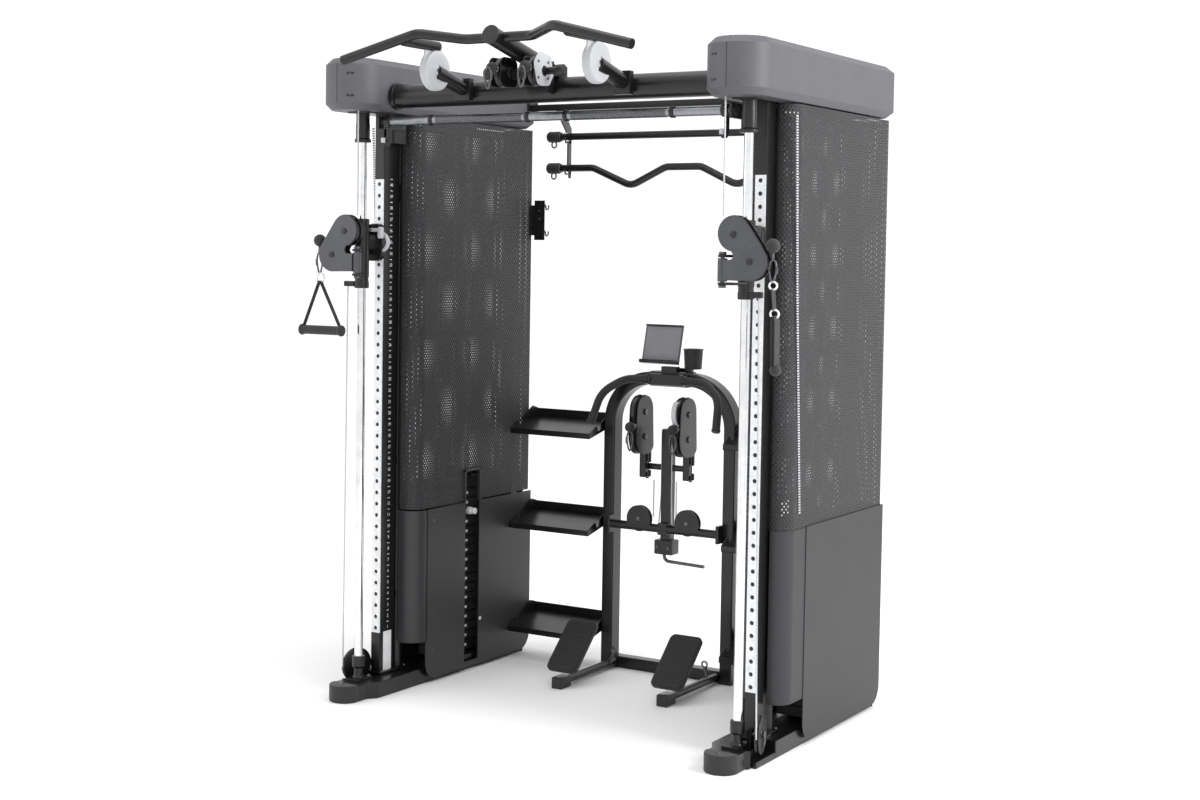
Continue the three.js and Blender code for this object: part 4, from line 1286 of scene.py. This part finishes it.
def build_stirrup():
    """Hand grip on a webbing triangle, hung from a snap hook on the left housing."""
    maker = Maker()
    y = SWIVEL[1]
    cable_end(maker, 820, y)
    carabiner(maker, (820, y, 1468), 70)
    maker.ring((817, y, 1386), (0, 1, 0), 15, 3.2, "zinc", 0.9)
    flare = [(0, 15), (2, 18), (7, 18.5), (13, 15)]
    ribs = [(16 + 4 * i, 15.2 if i % 2 else 14.2) for i in range(37)]
    maker.turned(
        (722, y, 1213), (1, 0, 0), flare + ribs + [(175 - u, v) for u, v in reversed(flare)], "rubber"
    )
    maker.piece("stirrup_grip", "stirrup_handle", ["stirrup_handle"], -1)
    path = [
        (-728, y, 1216), (-809, y, 1362), (-814, y, 1374), (-820, y, 1374), (-826, y, 1362), (-890, y, 1216)
    ]
    band("stirrup_webbing", path, 15, 2.4, "stirrup_handle")


def build_ankle_strap():
    """Padded strap folded over its ring, hung from the right housing."""
    maker = Maker()
    y = SWIVEL[1]
    cable_end(maker, 820, y)
    carabiner(maker, (820, y, 1468), 64)
    maker.ring((823, y, 1396), (0, 1, 0), 12, 3, "zinc", 0.9)
    maker.ring((829, y, 1317), (0, 1, 0), 13, 3, "zinc", 0.9)
    maker.ball((835, y, 1160), 17, "rubber")
    maker.piece("strap_rings", "ankle_strap", ["ankle_strap"])
    band("strap_link", [(823, y, 1387), (828, y, 1327)], 24, 2.2, "ankle_strap")
    lower = [(828, y, 1172), (825, y, 1296), (828, y, 1309), (833, y, 1309), (837, y, 1296), (838, y, 1172)]
    band("strap_webbing", lower, 34, 2.6, "ankle_strap")


def band(name, path, width, thickness, body):
    """A flat webbing band along a path in a plane across Y."""
    maker = Maker()
    half, thin = width / 2, thickness / 2
    section = [(half, -thin), (half, thin), (-half, thin), (-half, -thin)]
    line = route(path, 6, 5)
    maker.swept(line, section, "webbing", up=(0, 1, 0), bend=0.5, steps=1)
    strap = maker.piece(name, body)


# ---- top unit ------------------------------------------------------------------------------------


def build_crossbeam():
    """Round main beam between the towers with a collar at each end."""
    maker = Maker()
    beam_y, beam_z = -47, 1978
    maker.rod((-604, beam_y, beam_z), (604, beam_y, beam_z), 38, "frame", 1, sides=64)
    for side in (-1, 1):
        maker.rod((side * 580, beam_y, beam_z), (side * 596, beam_y, beam_z), 43, "frame", 2, sides=48)
    maker.piece("crossbeam_paint", "frame", ["crossbeam"])


def build_rear_crossmember():
    """Rear tube with its end plates and the two notched hangers of the stored bars."""
    maker = Maker()
    maker.block((-596, 596), (736, 775), (1988, 2012), "frame", 3)
    spots = []
    for side in (-1, 1):
        maker.block((side * 591, side * 597), (725, 785), (1960, 2030), "frame", 1.5)
        spots += [((side * 591, y, z), (-side, 0, 0)) for y in (734, 777) for z in (1970, 2020)]
        outline = [(740, 2010), (776, 2010), (842, 1930), (842, 1914), (806, 1914), (806, 1920), (740, 1990)]
        sheet = (side * HANGER_X - 3, side * HANGER_X + 3)
        maker.plate("x", outline, *sheet, "plate", 0.6)
        for level in STORED_BARS.values():
            maker.block(sheet, (834, 842), (level - 16, level + 16), "plate", 0.6)
            saddle = [
                (HANGER_Y + 18 * math.cos(a), level - 2 + 18 * math.sin(a))
                for a in (math.pi * i / 8 for i in range(9, 16))
            ]
            foot = [(842, level - 15), (842, level - 24), (806, level - 24), (802, level - 2)]
            maker.plate("x", foot + saddle, *sheet, "plate", 0.5)
        maker.block(sheet, (820, 842), (1786, 1885), "plate", 0.6)
        maker.block(sheet, (830, 842), (1750, 1786), "plate", 0.6)
    screws(maker, spots, 5, 4)
    maker.piece("rear_tube_paint", "frame", ["rear_crossmember"])


def build_chin_bar():
    """Bent pull-up bar on its central support, with the light shells of the top unit."""
    maker = Maker()
    grip = [
        (-509, -424, 2054), (-240, -408, 2123), (-120, -330, 2108), (120, -330, 2108), (240, -408, 2123),
        (509, -424, 2054),
    ]
    maker.swept(grip, 15, "frame", bend=60, steps=10)
    maker.rod((0, -372, 2112), (0, -60, 2040), 27.5, "frame", 2, sides=48)
    maker.rod((0, -376, 2113), (0, -368, 2111), 29, "rubber", 3, sides=48)
    maker.block((-40, 40), (-120, -86), (1960, 2060), "frame", 2)
    maker.block((-40, 40), (-120, -10), (2016, 2052), "frame", 3)
    for side in (-1, 1):
        x = side * 290
        maker.block((x - 30, x + 30), (-110, -86), (1950, 2020), "frame", 2)
        maker.rod((x, -410, 2104), (x, -236, 2104), 16, "frame", 2)
        maker.rod((x, -250, 2026), (x, -108, 1990), 24, "frame", 1)
        drum_y, drum_z, drum = -250, 2030, 62
        lobe = [
            (drum_y + drum * math.cos(math.radians(a)), drum_z + drum * math.sin(math.radians(a)))
            for a in range(10, -210, -11)
        ]
        maker.plate(
            "x", rounded([(-300, 2112, 8), (-225, 2112, 8)] + lobe, 5), x - 2.5, x + 2.5, "light", 0.8
        )
        for out in (-1, 1):
            maker.turned((x, drum_y, drum_z), (out, 0, 0), [
                (0, drum - 1), (11, drum - 1), (15, drum - 4), (16, drum - 8), (13, 44), (10.5, 26), (10, 16),
                (14, 13),
                (14, 0),
            ], "light", 56)
        screws(maker, [((x + out * 14, drum_y, drum_z), (out, 0, 0)) for out in (-1, 1)], 8, 3)
    maker.piece("pull_up_bar_paint", "frame", ["chin_up_bar"])


def build_lat_block():
    """Two drum pulleys under the pull-up bar, each with a snap hook on its cable end."""
    maker = Maker()
    maker.rod((-140, -190, 2020), (140, -190, 2020), 11, "frame", 1)
    maker.block((-30, 30), (-170, -122), (1990, 2024), "frame", 3)
    maker.block((-36, 36), (-215, -160), (1998, 2026), "frame", 3)
    for side in (-1, 1):
        x = side * 60
        wheel(maker, (x, -210, 2018), (1, 0, 0), 45, 18, 8)
        for out in (-1, 1):
            cheek = rounded([
                (-262, 2062, 24), (-172, 2062, 24), (-168, 1974, 24), (-262, 1974, 24),
            ], 8)
            maker.plate("x", cheek, x + out * 20 - 2, x + out * 20 + 2, "frame", 1)
            maker.rod((x + out * 21, -210, 2018), (x + out * 26, -210, 2018), 16, "nylon", 2)
        maker.rod((x, -246, 2025), (x, -262, 2026), 9, "zinc", 2)
        maker.ball((x, -276, 2026), 18, "rubber")
        carabiner(maker, (x, -296, 2026), 62)
        maker.block((x - 20, x + 20), (-186, -176), (2046, 2060), "frame", 2)
        maker.rod((side * 118, -190, 2020), (side * 142, -190, 2020), 18, "frame", 4)
    cover = rounded([
        (-268, 2040, 22), (-238, 2074, 16), (-176, 2066, 20), (-160, 2010, 18), (-182, 1976, 18),
        (-246, 1972, 24),
    ], 8)
    maker.plate("x", cover, 82, 85, "light", 1)
    screws(maker, [((85, y, z), (1, 0, 0)) for y in (-244, -192) for z in (1996, 2044)], 4, 2.5)
    maker.piece("drum_pulleys", "frame", ["lat_pulley_block"])


def build_press_bar():
    """Long press bar with knurled sleeves, collars and hanging hooks, whose light grey tips are a painted
    highlight.
    """
    maker = Maker()
    y, z = -60, 1897
    maker.rod((-631, y, z), (631, y, z), 14, "satin", 2, sides=48)
    for low, high in ((-420, -90), (90, 420)):
        maker.rod((low, y, z), (high, y, z), 14.8, "screw", 0.6, sides=48)
    for x in (-440, -70, 70, 440):
        maker.rod((x - 7, y, z), (x + 7, y, z), 17.5, "frame", 2, sides=40)
    hook = rounded([
        (-72, 1912, 5), (-46, 1912, 6), (-46, 1838, 18), (-54, 1817, 18), (-82, 1815, 14), (-93, 1828, 6),
        (-92, 1841, 3), (-84, 1841, 3), (-79, 1832, 5), (-67, 1834, 6), (-66, 1880, 8),
    ], 5)
    for side in (-1, 1):
        maker.plate("x", hook, side * 616 - 4, side * 616 + 4, "frame", 1.2)
        # The light grey plate on each hook tip is a painted highlight, not a separate part.
        highlight_tip = rounded([(-94, 1843, 3), (-93, 1824, 5), (-84, 1826, 4), (-83, 1843, 3)], 4)
        maker.plate("x", highlight_tip, side * 616 - 5.5, side * 616 + 5.5, "light", 1)
        maker.rod((side * 604, y, z), (side * 628, y, z), 19, "frame", 2.5, sides=40)
    maker.piece("press_bar_paint", "press_bar", ["press_bar"])
    for word, side in SIDES:
        maker = Maker()
        maker.block((636, 646), (-84, 60), (1873, 1918), "frame", 2)
        maker.block((645, 681), (6, 74), (1831, 1918), "frame", 3)
        maker.rod((632, y, z), (650, y, z), 18, "nylon", 2)
        screws(maker, [((636, 40, 1886), (-1, 0, 0)), ((636, 40, 1906), (-1, 0, 0))], 5, 3)
        maker.piece(f"press_slide_paint_{word}", "press_slides",
                    [f"press_slide_{word}"], side)


def build_stored_bars():
    """Straight and curl bars with their rubber end sleeves and eyes, lying in the rear hangers."""
    for name, wave, bend in (("straight_bar", (), 10), ("curl_bar", ((370, 0), (211, 66), (70, 0)), 60)):
        height = STORED_BARS[name]
        maker = Maker()
        run = [(-545, 0)] + [(-x, drop) for x, drop in wave] + [(x, drop) for x, drop in reversed(wave)]
        run.append((545, 0))
        maker.swept([(x, HANGER_Y, height - drop) for x, drop in run], 13, "frame", bend=bend, steps=10)
        for side in (-1, 1):
            maker.turned((side * 513, HANGER_Y, height), (side, 0, 0), [
                (0, 14), (0.5, 18), (3, 20), (44, 20), (49, 17), (51.5, 14),
            ], "rubber")
            maker.rod((side * 506, HANGER_Y, height), (side * 513, HANGER_Y, height), 16.5, "screw", 1.5)
            maker.ring((side * 539, HANGER_Y, height - 28), (0, 1, 0), 10, 3, "screw", 1.1)
        maker.piece(f"{name}_steel", name, [name])


# ---- rear rowing unit ----------------------------------------------------------------------------


def build_arch():
    """Arched rectangular tube with its sleeve, curved grips, cup holder and floor arms."""
    maker = Maker()
    half, post = 22.5, 239
    section = rounded([(-29, -half, 5), (29, -half, 5), (29, half, 5), (-29, half, 5)], 3)
    centre = [(-post, 769, 2), (-post, 769, 1043.5), (post, 769, 1043.5), (post, 769, 2)]
    maker.swept(centre, section, "frame", bend=165, steps=18, up=(0, 1, 0))
    maker.block((-216, 216), (747, 791), (1, 42), "frame", 4)
    for side in (-1, 1):
        maker.block((side * 214, side * 264), (736, 802), (0, 8), "rubber", 2)
    maker.block((-72, 72), (713, 742), (1021, 1063), "frame", 8)
    maker.block((-78, 78), (735, 803), (1017, 1070), "frame", 6)
    maker.block((-30, 30), (735, 765), (1064, 1088), "frame", 3)
    for side in (-1, 1):
        grip = [
            (side * 60, 722, 1042), (side * 160, 712, 1040), (side * 232, 670, 990), (side * 246, 627, 889),
        ]
        maker.swept(grip, 14, "rubber", bend=100, steps=12)
        maker.rod((side * 245.5, 629, 893), (side * 246.6, 624, 884), 15.5, "rubber", 3)
        maker.rod((side * 70, 722, 1042), (side * 84, 721, 1042), 17, "frame", 2)
        x = side * FOOT_PLATE_X
        maker.rod((x, 420, 22), (x, 752, 22), 14, "frame", 1)
        maker.block((x - 20, x + 20), (359, 423), (1, 40), "frame", 5)
        maker.block((x - 20, x + 20), (357, 364), (0.5, 39), "rubber", 4)
        maker.rod((side * 196, 700, 26), (side * 182, 700, 64), 7, "screw", 1)
        maker.ring((side * 181, 700, 72), (0, 1, 0), 10, 3, "screw", 1)
        maker.block((side * 240, side * 262), (752, 790), (840, 880), "frame", 2)
    cup = (70, 786, 1080)
    maker.turned(cup, (0, 0, 1), [
        (0, 0), (0, 28), (1.5, 30), (66, 33.6), (68, 36), (70, 36), (70.5, 33), (69.5, 31), (4, 26.5),
        (3, 24),
        (3, 0),
    ], "rubber", 48)
    maker.block((12, 68), (776, 796), (1062, 1082), "frame", 2)
    screws(maker, [((side * 56, 735, z), (0, -1, 0)) for side in (-1, 1) for z in (1030, 1056)], 5, 3)
    maker.piece("arch_paint", "frame", ["arch_frame"])


def build_tablet_holder():
    """Plain folded plate with lips that holds a tablet."""
    maker = Maker()
    maker.block((-100, 50), (-2, 1.6), (0, 140), "plate", 1.2)
    maker.block((-100, 50), (-22, 1.6), (0, 3.4), "frame", 1)
    maker.block((-100, 50), (-22, -19), (0, 12), "frame", 1)
    maker.block((-100, 50), (-10, 1.6), (137, 140), "frame", 1)
    maker.block((-94, 44), (-3.4, -1.8), (8, 133), "pad", 0.6)
    maker.block((-12, 12), (0, 16), (10, 60), "frame", 2)
    maker.rod((-16, 9, 14), (16, 9, 14), 6, "screw", 1)
    lean = Matrix.Rotation(math.radians(-14), 3, "X")
    for vert in maker.whole.verts:
        vert.co = lean @ vert.co + Vector((-18, 752, 1094))
    maker.piece("tablet_plate", "tablet_holder", ["tablet_holder"])


def build_row_bar():
    """Cross bar of the rowing unit with its centre post, pulley discs and housing brackets."""
    maker = Maker()
    maker.rod((-216, 720, 521), (216, 720, 521), 15, "frame", 1, sides=40)
    maker.block((-19, 19), (728, 766), (470, 870), "frame", 4)
    maker.block((-19, 19), (706, 742), (500, 542), "frame", 4)
    maker.block((-36, 36), (716, 770), (430, 482), "frame", 5)
    maker.swept([(-8, 742, 440), (-8, 742, 405), (150, 742, 400)], 6, "screw", bend=20)
    for side in (-1, 1):
        maker.block((side * 216 - 6, side * 216 + 6), (705, 740), (490, 552), "frame", 2)
        x = side * 96
        wheel(maker, (x, 721, 550), (0, 1, 0), 46, 17, 8)
        half_disc = [
            (x + 47 * math.cos(math.pi * i / 24), 550 + 47 * math.sin(math.pi * i / 24)) for i in range(25)
        ]
        maker.plate("y", half_disc + [(x - 47, 526), (x + 47, 526)], 707, 711, "frame", 1)
        maker.rod((x, 704, 550), (x, 734, 550), 8, "screw", 1.5)
        maker.rod((side * 15, 750, 733), (side * 86, 750, 733), 11, "frame", 1)
        maker.rod((side * 86, 750, 689), (side * 86, 750, 796), 6, "screw", 1)
        maker.rod((side * 86, 750, 791), (side * 86, 750, 797), 10, "screw", 2)
        maker.rod((side * 45, 726, 560), (side * 45, 726, 690), CABLE_RADIUS, "cable", 0.5)
    screws(maker, [((side * 22, 716, 456), (0, -1, 0)) for side in (-1, 1)], 6, 4)
    maker.piece("row_unit_paint", "frame", ["row_bar"])


def build_rear_housing(word, side):
    """Swivelling pair of drum pulleys between cheek plates, with its ball stop and snap hook."""
    maker = Maker()
    x = 86
    for z, radius in ((842, 63), (928, 60)):
        wheel(maker, (x, 702, z), (1, 0, 0), radius, 20, 8)
        for out in (-1, 1):
            maker.rod((x + out * 16, 702, z), (x + out * 22, 702, z), 11, "screw", 2)
    cheek = rounded([
        (640, 836, 62), (650, 985, 50), (754, 985, 50), (764, 800, 20), (740, 780, 20), (660, 780, 50),
    ], 10)
    for out in (-1, 1):
        maker.plate("x", cheek, x + out * 15 - 1.5, x + out * 15 + 1.5, "frame" if side < 0 else "plate", 1)
    maker.rod((x, 750, 696), (x, 750, 719), 14, "frame", 2)
    maker.rod((x, 750, 747), (x, 750, 789), 14, "frame", 2)
    maker.block((x - 12, x + 12), (713, 739), (696, 719), "frame", 4)
    maker.block((x - 12, x + 12), (713, 739), (747, 789), "frame", 4)
    maker.block((x - 12, x + 12), (712, 735), (696, 806), "frame", 4)
    maker.rod((x - 2, 656, 880), (x - 2, 634, 880), 9, "zinc", 2)
    maker.ball((x - 2, 620, 880), 18, "rubber")
    carabiner(maker, (x - 2, 620, 864), 66)
    if side > 0:
        arc = [
            (x + 4, 640 + 26 * math.cos(a), 934 + 40 * math.sin(a))
            for a in (math.pi * (0.5 + i / 14) for i in range(15))
        ]
        maker.swept(arc, [(-8, -3), (8, -3), (8, 3), (-8, 3)], "light", bend=4, up=(1, 0, 0))
    maker.piece(f"rear_cheeks_{word}", f"rear_pulley_housing_{word}",
                [f"rear_pulley_housing_{word}"], side)


def build_rear_cables(word, side):
    """Short cable runs inside the rowing unit."""
    maker = Maker()
    maker.swept([(side * 20, 735, 860), (side * 20, 735, 640), (side * 28, 730, 500)], 2.5, "cable", bend=60)
    maker.piece(f"row_cable_{word}", "frame")


def build_foot_plate(word, side):
    """Ribbed rubber foot plate on its tilting block."""
    maker = Maker()
    x, hinge_y = FOOT_PLATE_X, FOOT_PLATE_Y
    outline = rounded([(x - 60, 0, 20), (x + 60, 0, 20), (x + 60, 210, 20), (x - 60, 210, 20)], 8)
    maker.plate("y", outline, -4, 9.5, "rubber", 2)
    tread = rounded([(x - 55, 5, 16), (x + 55, 5, 16), (x + 55, 205, 16), (x - 55, 205, 16)], 7)
    maker.plate("y", tread, -8, -3, "rubber", 1)
    rows(maker, (98, 3, 4.4), (x, -8, 18), (0, 0, 10.2), 18, "rubber")
    lean = Matrix.Rotation(-0.8, 3, "X")
    for vert in maker.whole.verts:
        vert.co = lean @ (vert.co + Vector((0, 0, -30))) + Vector((0, hinge_y - 2, 78))
    maker.block((x - 15, x + 15), (hinge_y - 9, hinge_y + 9), (54, 86), "frame", 3)
    maker.rod((x - 22, hinge_y, 70), (x + 22, hinge_y, 70), 7, "screw", 1)
    maker.swept([(x, hinge_y, 76), (x, hinge_y + 50, 88), (x, hinge_y + 92, 150)], 8, "frame", bend=40)
    maker.piece(f"foot_rubber_{word}", f"foot_plate_{word}", [f"foot_plate_{word}"], side)


def build_shelves(word, side):
    """Tilted tray shelves with folded lips and notched side plates."""
    for level, low in (("top", 823), ("middle", 478), ("bottom", 99)):
        front, rear, rise = 645, 828, 50
        maker = Maker()
        floor = [(front, low), (front, low + 3), (rear, low + rise + 3), (rear, low + rise)]
        maker.plate("x", floor, 264, 599, "frame", 0.6)
        maker.block((264, 599), (front, front + 3), (low, low + 20), "frame", 1)
        maker.block((264, 599), (rear - 3, rear), (low + rise - 4, low + rise + 30), "frame", 1)
        notched = rounded([
            (front, low, 2), (front, low + 20, 6), (front + 50, low + 46, 8), (front + 58, low + 24, 6),
            (front + 76, low + 28, 6), (front + 80, low + 52, 8), (rear - 40, low + rise + 42, 20),
            (rear, low + rise + 30, 6), (rear, low + rise - 8, 2),
        ], 4)
        for x in (263, 597):
            maker.plate("x", notched, x, x + 3, "frame", 0.7)
        spots = [((x, front + y, low + y * 0.27 + 18), (face, 0, 0)) for x, face in ((263, -1), (266, 1))
                 for y in (110, 150)]
        screws(maker, spots, 5, 3)
        maker.piece(
            f"shelf_{level}_paint_{word}", "frame", [f"shelf_{level}_{word}"], side
        )


def build_hook_plate():
    """Plate with wire hooks for loose handles, on the rear of the left tower."""
    maker = Maker()
    maker.block((-600, -556), (784, 788), (1523, 1668), "frame", 1)
    maker.block((-604, -598), (760, 788), (1540, 1650), "frame", 1)
    for x in (-590, -566):
        for z in (1656, 1560):
            hook = [(x, 788, z), (x, 806, z - 4), (x, 812, z - 22), (x, 826, z - 18), (x, 828, z - 4)]
            maker.swept(hook, 3, "screw", bend=5, steps=4)
    screws(maker, [((-578, 784, z), (0, -1, 0)) for z in (1600, 1630)], 5, 3)
    maker.piece("hook_plate", "frame")


# ---- stage ---------------------------------------------------------------------------------------


def build_stage():
    """Pale studio floor, soft lights and the camera."""
    scene = bpy.context.scene
    scene.view_settings.view_transform = "Standard"
    mesh = bpy.data.meshes.new("studio_floor")
    reach = 60
    mesh.from_pydata(
        [(-reach, -reach, 0), (reach, -reach, 0), (reach, reach, 0), (-reach, reach, 0)], [], [(0, 1, 2, 3)]
    )
    floor = bpy.data.objects.new("studio_floor", mesh)
    scene.collection.objects.link(floor)
    mesh.materials.append(surface(
        "pale studio floor", {"Metallic": 0.0, "IOR": 1.3},
        (hex_colour("#fbfbfb"), hex_colour("#fdfdfd"), 2.0, 0.75, 0.85, 0.4, 0.0001),
    ))
    world = bpy.data.worlds.new("studio")
    world.use_nodes = True
    world.node_tree.nodes["Background"].inputs["Color"].default_value = (1, 1, 1, 1)
    world.node_tree.nodes["Background"].inputs["Strength"].default_value = 1.12
    scene.world = world
    for name, spot, aim, size, power in (
        ("key softbox", (5.0, 0.2, 3.6), (0.2, 0, 1.0), 2.2, 200),
        ("left softbox", (-3.6, -3.2, 2.6), (-0.4, 0, 1.1), 2.0, 15),
        ("top softbox", (0.2, -0.6, 4.6), (0, 0, 1.0), 2.4, 30),
    ):
        light = bpy.data.lights.new(name, "AREA")
        light.shape = "RECTANGLE"
        light.size = size
        light.size_y = size * 1.3
        light.energy = power
        holder = bpy.data.objects.new(name, light)
        holder.location = spot
        holder.rotation_euler = (Vector(aim) - Vector(spot)).to_track_quat("-Z", "Y").to_euler()
        scene.collection.objects.link(holder)
    build_camera()


def build_camera():
    """A camera in front of the machine, to its right and a little above its middle."""
    turn, tilt, roll = (math.radians(angle) for angle in (31.7474264, 2.932679549, 0.85418739))
    back = Vector((math.sin(turn) * math.cos(tilt), -math.cos(turn) * math.cos(tilt), math.sin(tilt)))
    right = Vector((0, 0, 1)).cross(back).normalized()
    up = back.cross(right)
    across = right * math.cos(roll) + up * math.sin(roll)
    upward = up * math.cos(roll) - right * math.sin(roll)
    lens = bpy.data.cameras.new("camera")
    lens.sensor_width = 36
    lens.lens = 52.6605
    lens.shift_x = 0.01432
    lens.shift_y = -0.04867
    lens.clip_end = 200
    camera = bpy.data.objects.new("camera", lens)
    basis = Matrix((across, upward, back)).transposed().to_4x4()
    camera.matrix_world = Matrix.Translation(place((2954.276, -4608.697, 1483.18))) @ basis
    bpy.context.scene.collection.objects.link(camera)
    bpy.context.scene.camera = camera


# ---- operators and panel -------------------------------------------------------------------------


def both_sides(*builders):
    """Runs each builder for the left and the right tower."""
    for builder in builders:
        for word, side in SIDES:
            builder(word, side)


class TRAINER_OT_towers(bpy.types.Operator):
    """Builds the rails, columns and guide rods"""

    bl_idname = "trainer.towers"
    bl_label = "Rails, columns and rods"

    def execute(self, context):
        both_sides(build_rail, build_column, build_guide_rod)
        return {"FINISHED"}


class TRAINER_OT_shells(bpy.types.Operator):
    """Builds the hoods, lower skirts and mesh screens"""

    bl_idname = "trainer.shells"
    bl_label = "Hoods, skirts and screens"

    def execute(self, context):
        both_sides(build_hood, build_covers, build_screen)
        return {"FINISHED"}


class TRAINER_OT_stacks(bpy.types.Operator):
    """Builds the weight stacks with their heads, pins and cables"""

    bl_idname = "trainer.stacks"
    bl_label = "Weight stacks"

    def execute(self, context):
        both_sides(build_stack)
        return {"FINISHED"}


class TRAINER_OT_carriages(bpy.types.Operator):
    """Builds the carriages, pulley housings, pulleys and cables"""

    bl_idname = "trainer.carriages"
    bl_label = "Carriages and pulleys"

    def execute(self, context):
        both_sides(build_carriage, build_housing, build_foot_pulley, build_cables)
        return {"FINISHED"}


class TRAINER_OT_handles(bpy.types.Operator):
    """Builds the stirrup handle and the ankle strap"""

    bl_idname = "trainer.handles"
    bl_label = "Handle and strap"

    def execute(self, context):
        build_stirrup()
        build_ankle_strap()
        return {"FINISHED"}


class TRAINER_OT_top(bpy.types.Operator):
    """Builds the beams, pull-up bar and drum pulleys"""

    bl_idname = "trainer.top_unit"
    bl_label = "Top unit"

    def execute(self, context):
        build_crossbeam()
        build_rear_crossmember()
        build_chin_bar()
        build_lat_block()
        return {"FINISHED"}


class TRAINER_OT_bars(bpy.types.Operator):
    """Builds the press bar and the stored bars"""

    bl_idname = "trainer.bars"
    bl_label = "Press bar and stored bars"

    def execute(self, context):
        build_press_bar()
        build_stored_bars()
        return {"FINISHED"}


class TRAINER_OT_rowing(bpy.types.Operator):
    """Builds the arch, tablet plate, row bar, rear pulleys and foot plates"""

    bl_idname = "trainer.rowing_unit"
    bl_label = "Rowing unit"

    def execute(self, context):
        build_arch()
        build_tablet_holder()
        build_row_bar()
        both_sides(build_rear_housing, build_rear_cables, build_foot_plate)
        return {"FINISHED"}


class TRAINER_OT_shelves(bpy.types.Operator):
    """Builds the shelves and the hook plate"""

    bl_idname = "trainer.shelves"
    bl_label = "Shelves and hooks"

    def execute(self, context):
        both_sides(build_shelves)
        build_hook_plate()
        return {"FINISHED"}


class TRAINER_OT_stage(bpy.types.Operator):
    """Builds the floor, lights and camera"""

    bl_idname = "trainer.stage"
    bl_label = "Studio"

    def execute(self, context):
        build_stage()
        return {"FINISHED"}


OPERATORS = (
    TRAINER_OT_towers, TRAINER_OT_shells, TRAINER_OT_stacks, TRAINER_OT_carriages, TRAINER_OT_handles,
    TRAINER_OT_top, TRAINER_OT_bars, TRAINER_OT_rowing, TRAINER_OT_shelves, TRAINER_OT_stage,
)


class TRAINER_PT_panel(bpy.types.Panel):
    """Lists the trainer's settings and its pieces"""

    bl_idname = "TRAINER_PT_panel"
    bl_label = "Functional trainer"
    bl_space_type = "VIEW_3D"
    bl_region_type = "UI"
    bl_category = "Trainer"

    def draw(self, context):
        layout = self.layout
        for settings in (context.scene.trainer_finishes, context.scene.trainer_sizes):
            for name in settings.__annotations__:
                layout.prop(settings, name)
        for operator in OPERATORS:
            layout.operator(operator.bl_idname)


CLASSES = (TrainerFinishes, TrainerSizes, *OPERATORS, TRAINER_PT_panel)


def register():
    for cls in CLASSES:
        bpy.utils.register_class(cls)
    bpy.types.Scene.trainer_finishes = bpy.props.PointerProperty(type=TrainerFinishes)
    bpy.types.Scene.trainer_sizes = bpy.props.PointerProperty(type=TrainerSizes)


def unregister():
    del bpy.types.Scene.trainer_sizes
    del bpy.types.Scene.trainer_finishes
    for cls in reversed(CLASSES):
        bpy.utils.unregister_class(cls)


def main():
    register()
    for operator in OPERATORS:
        group, name = operator.bl_idname.split(".")
        getattr(getattr(bpy.ops, group), name)()


if __name__ == "__main__":
    main()
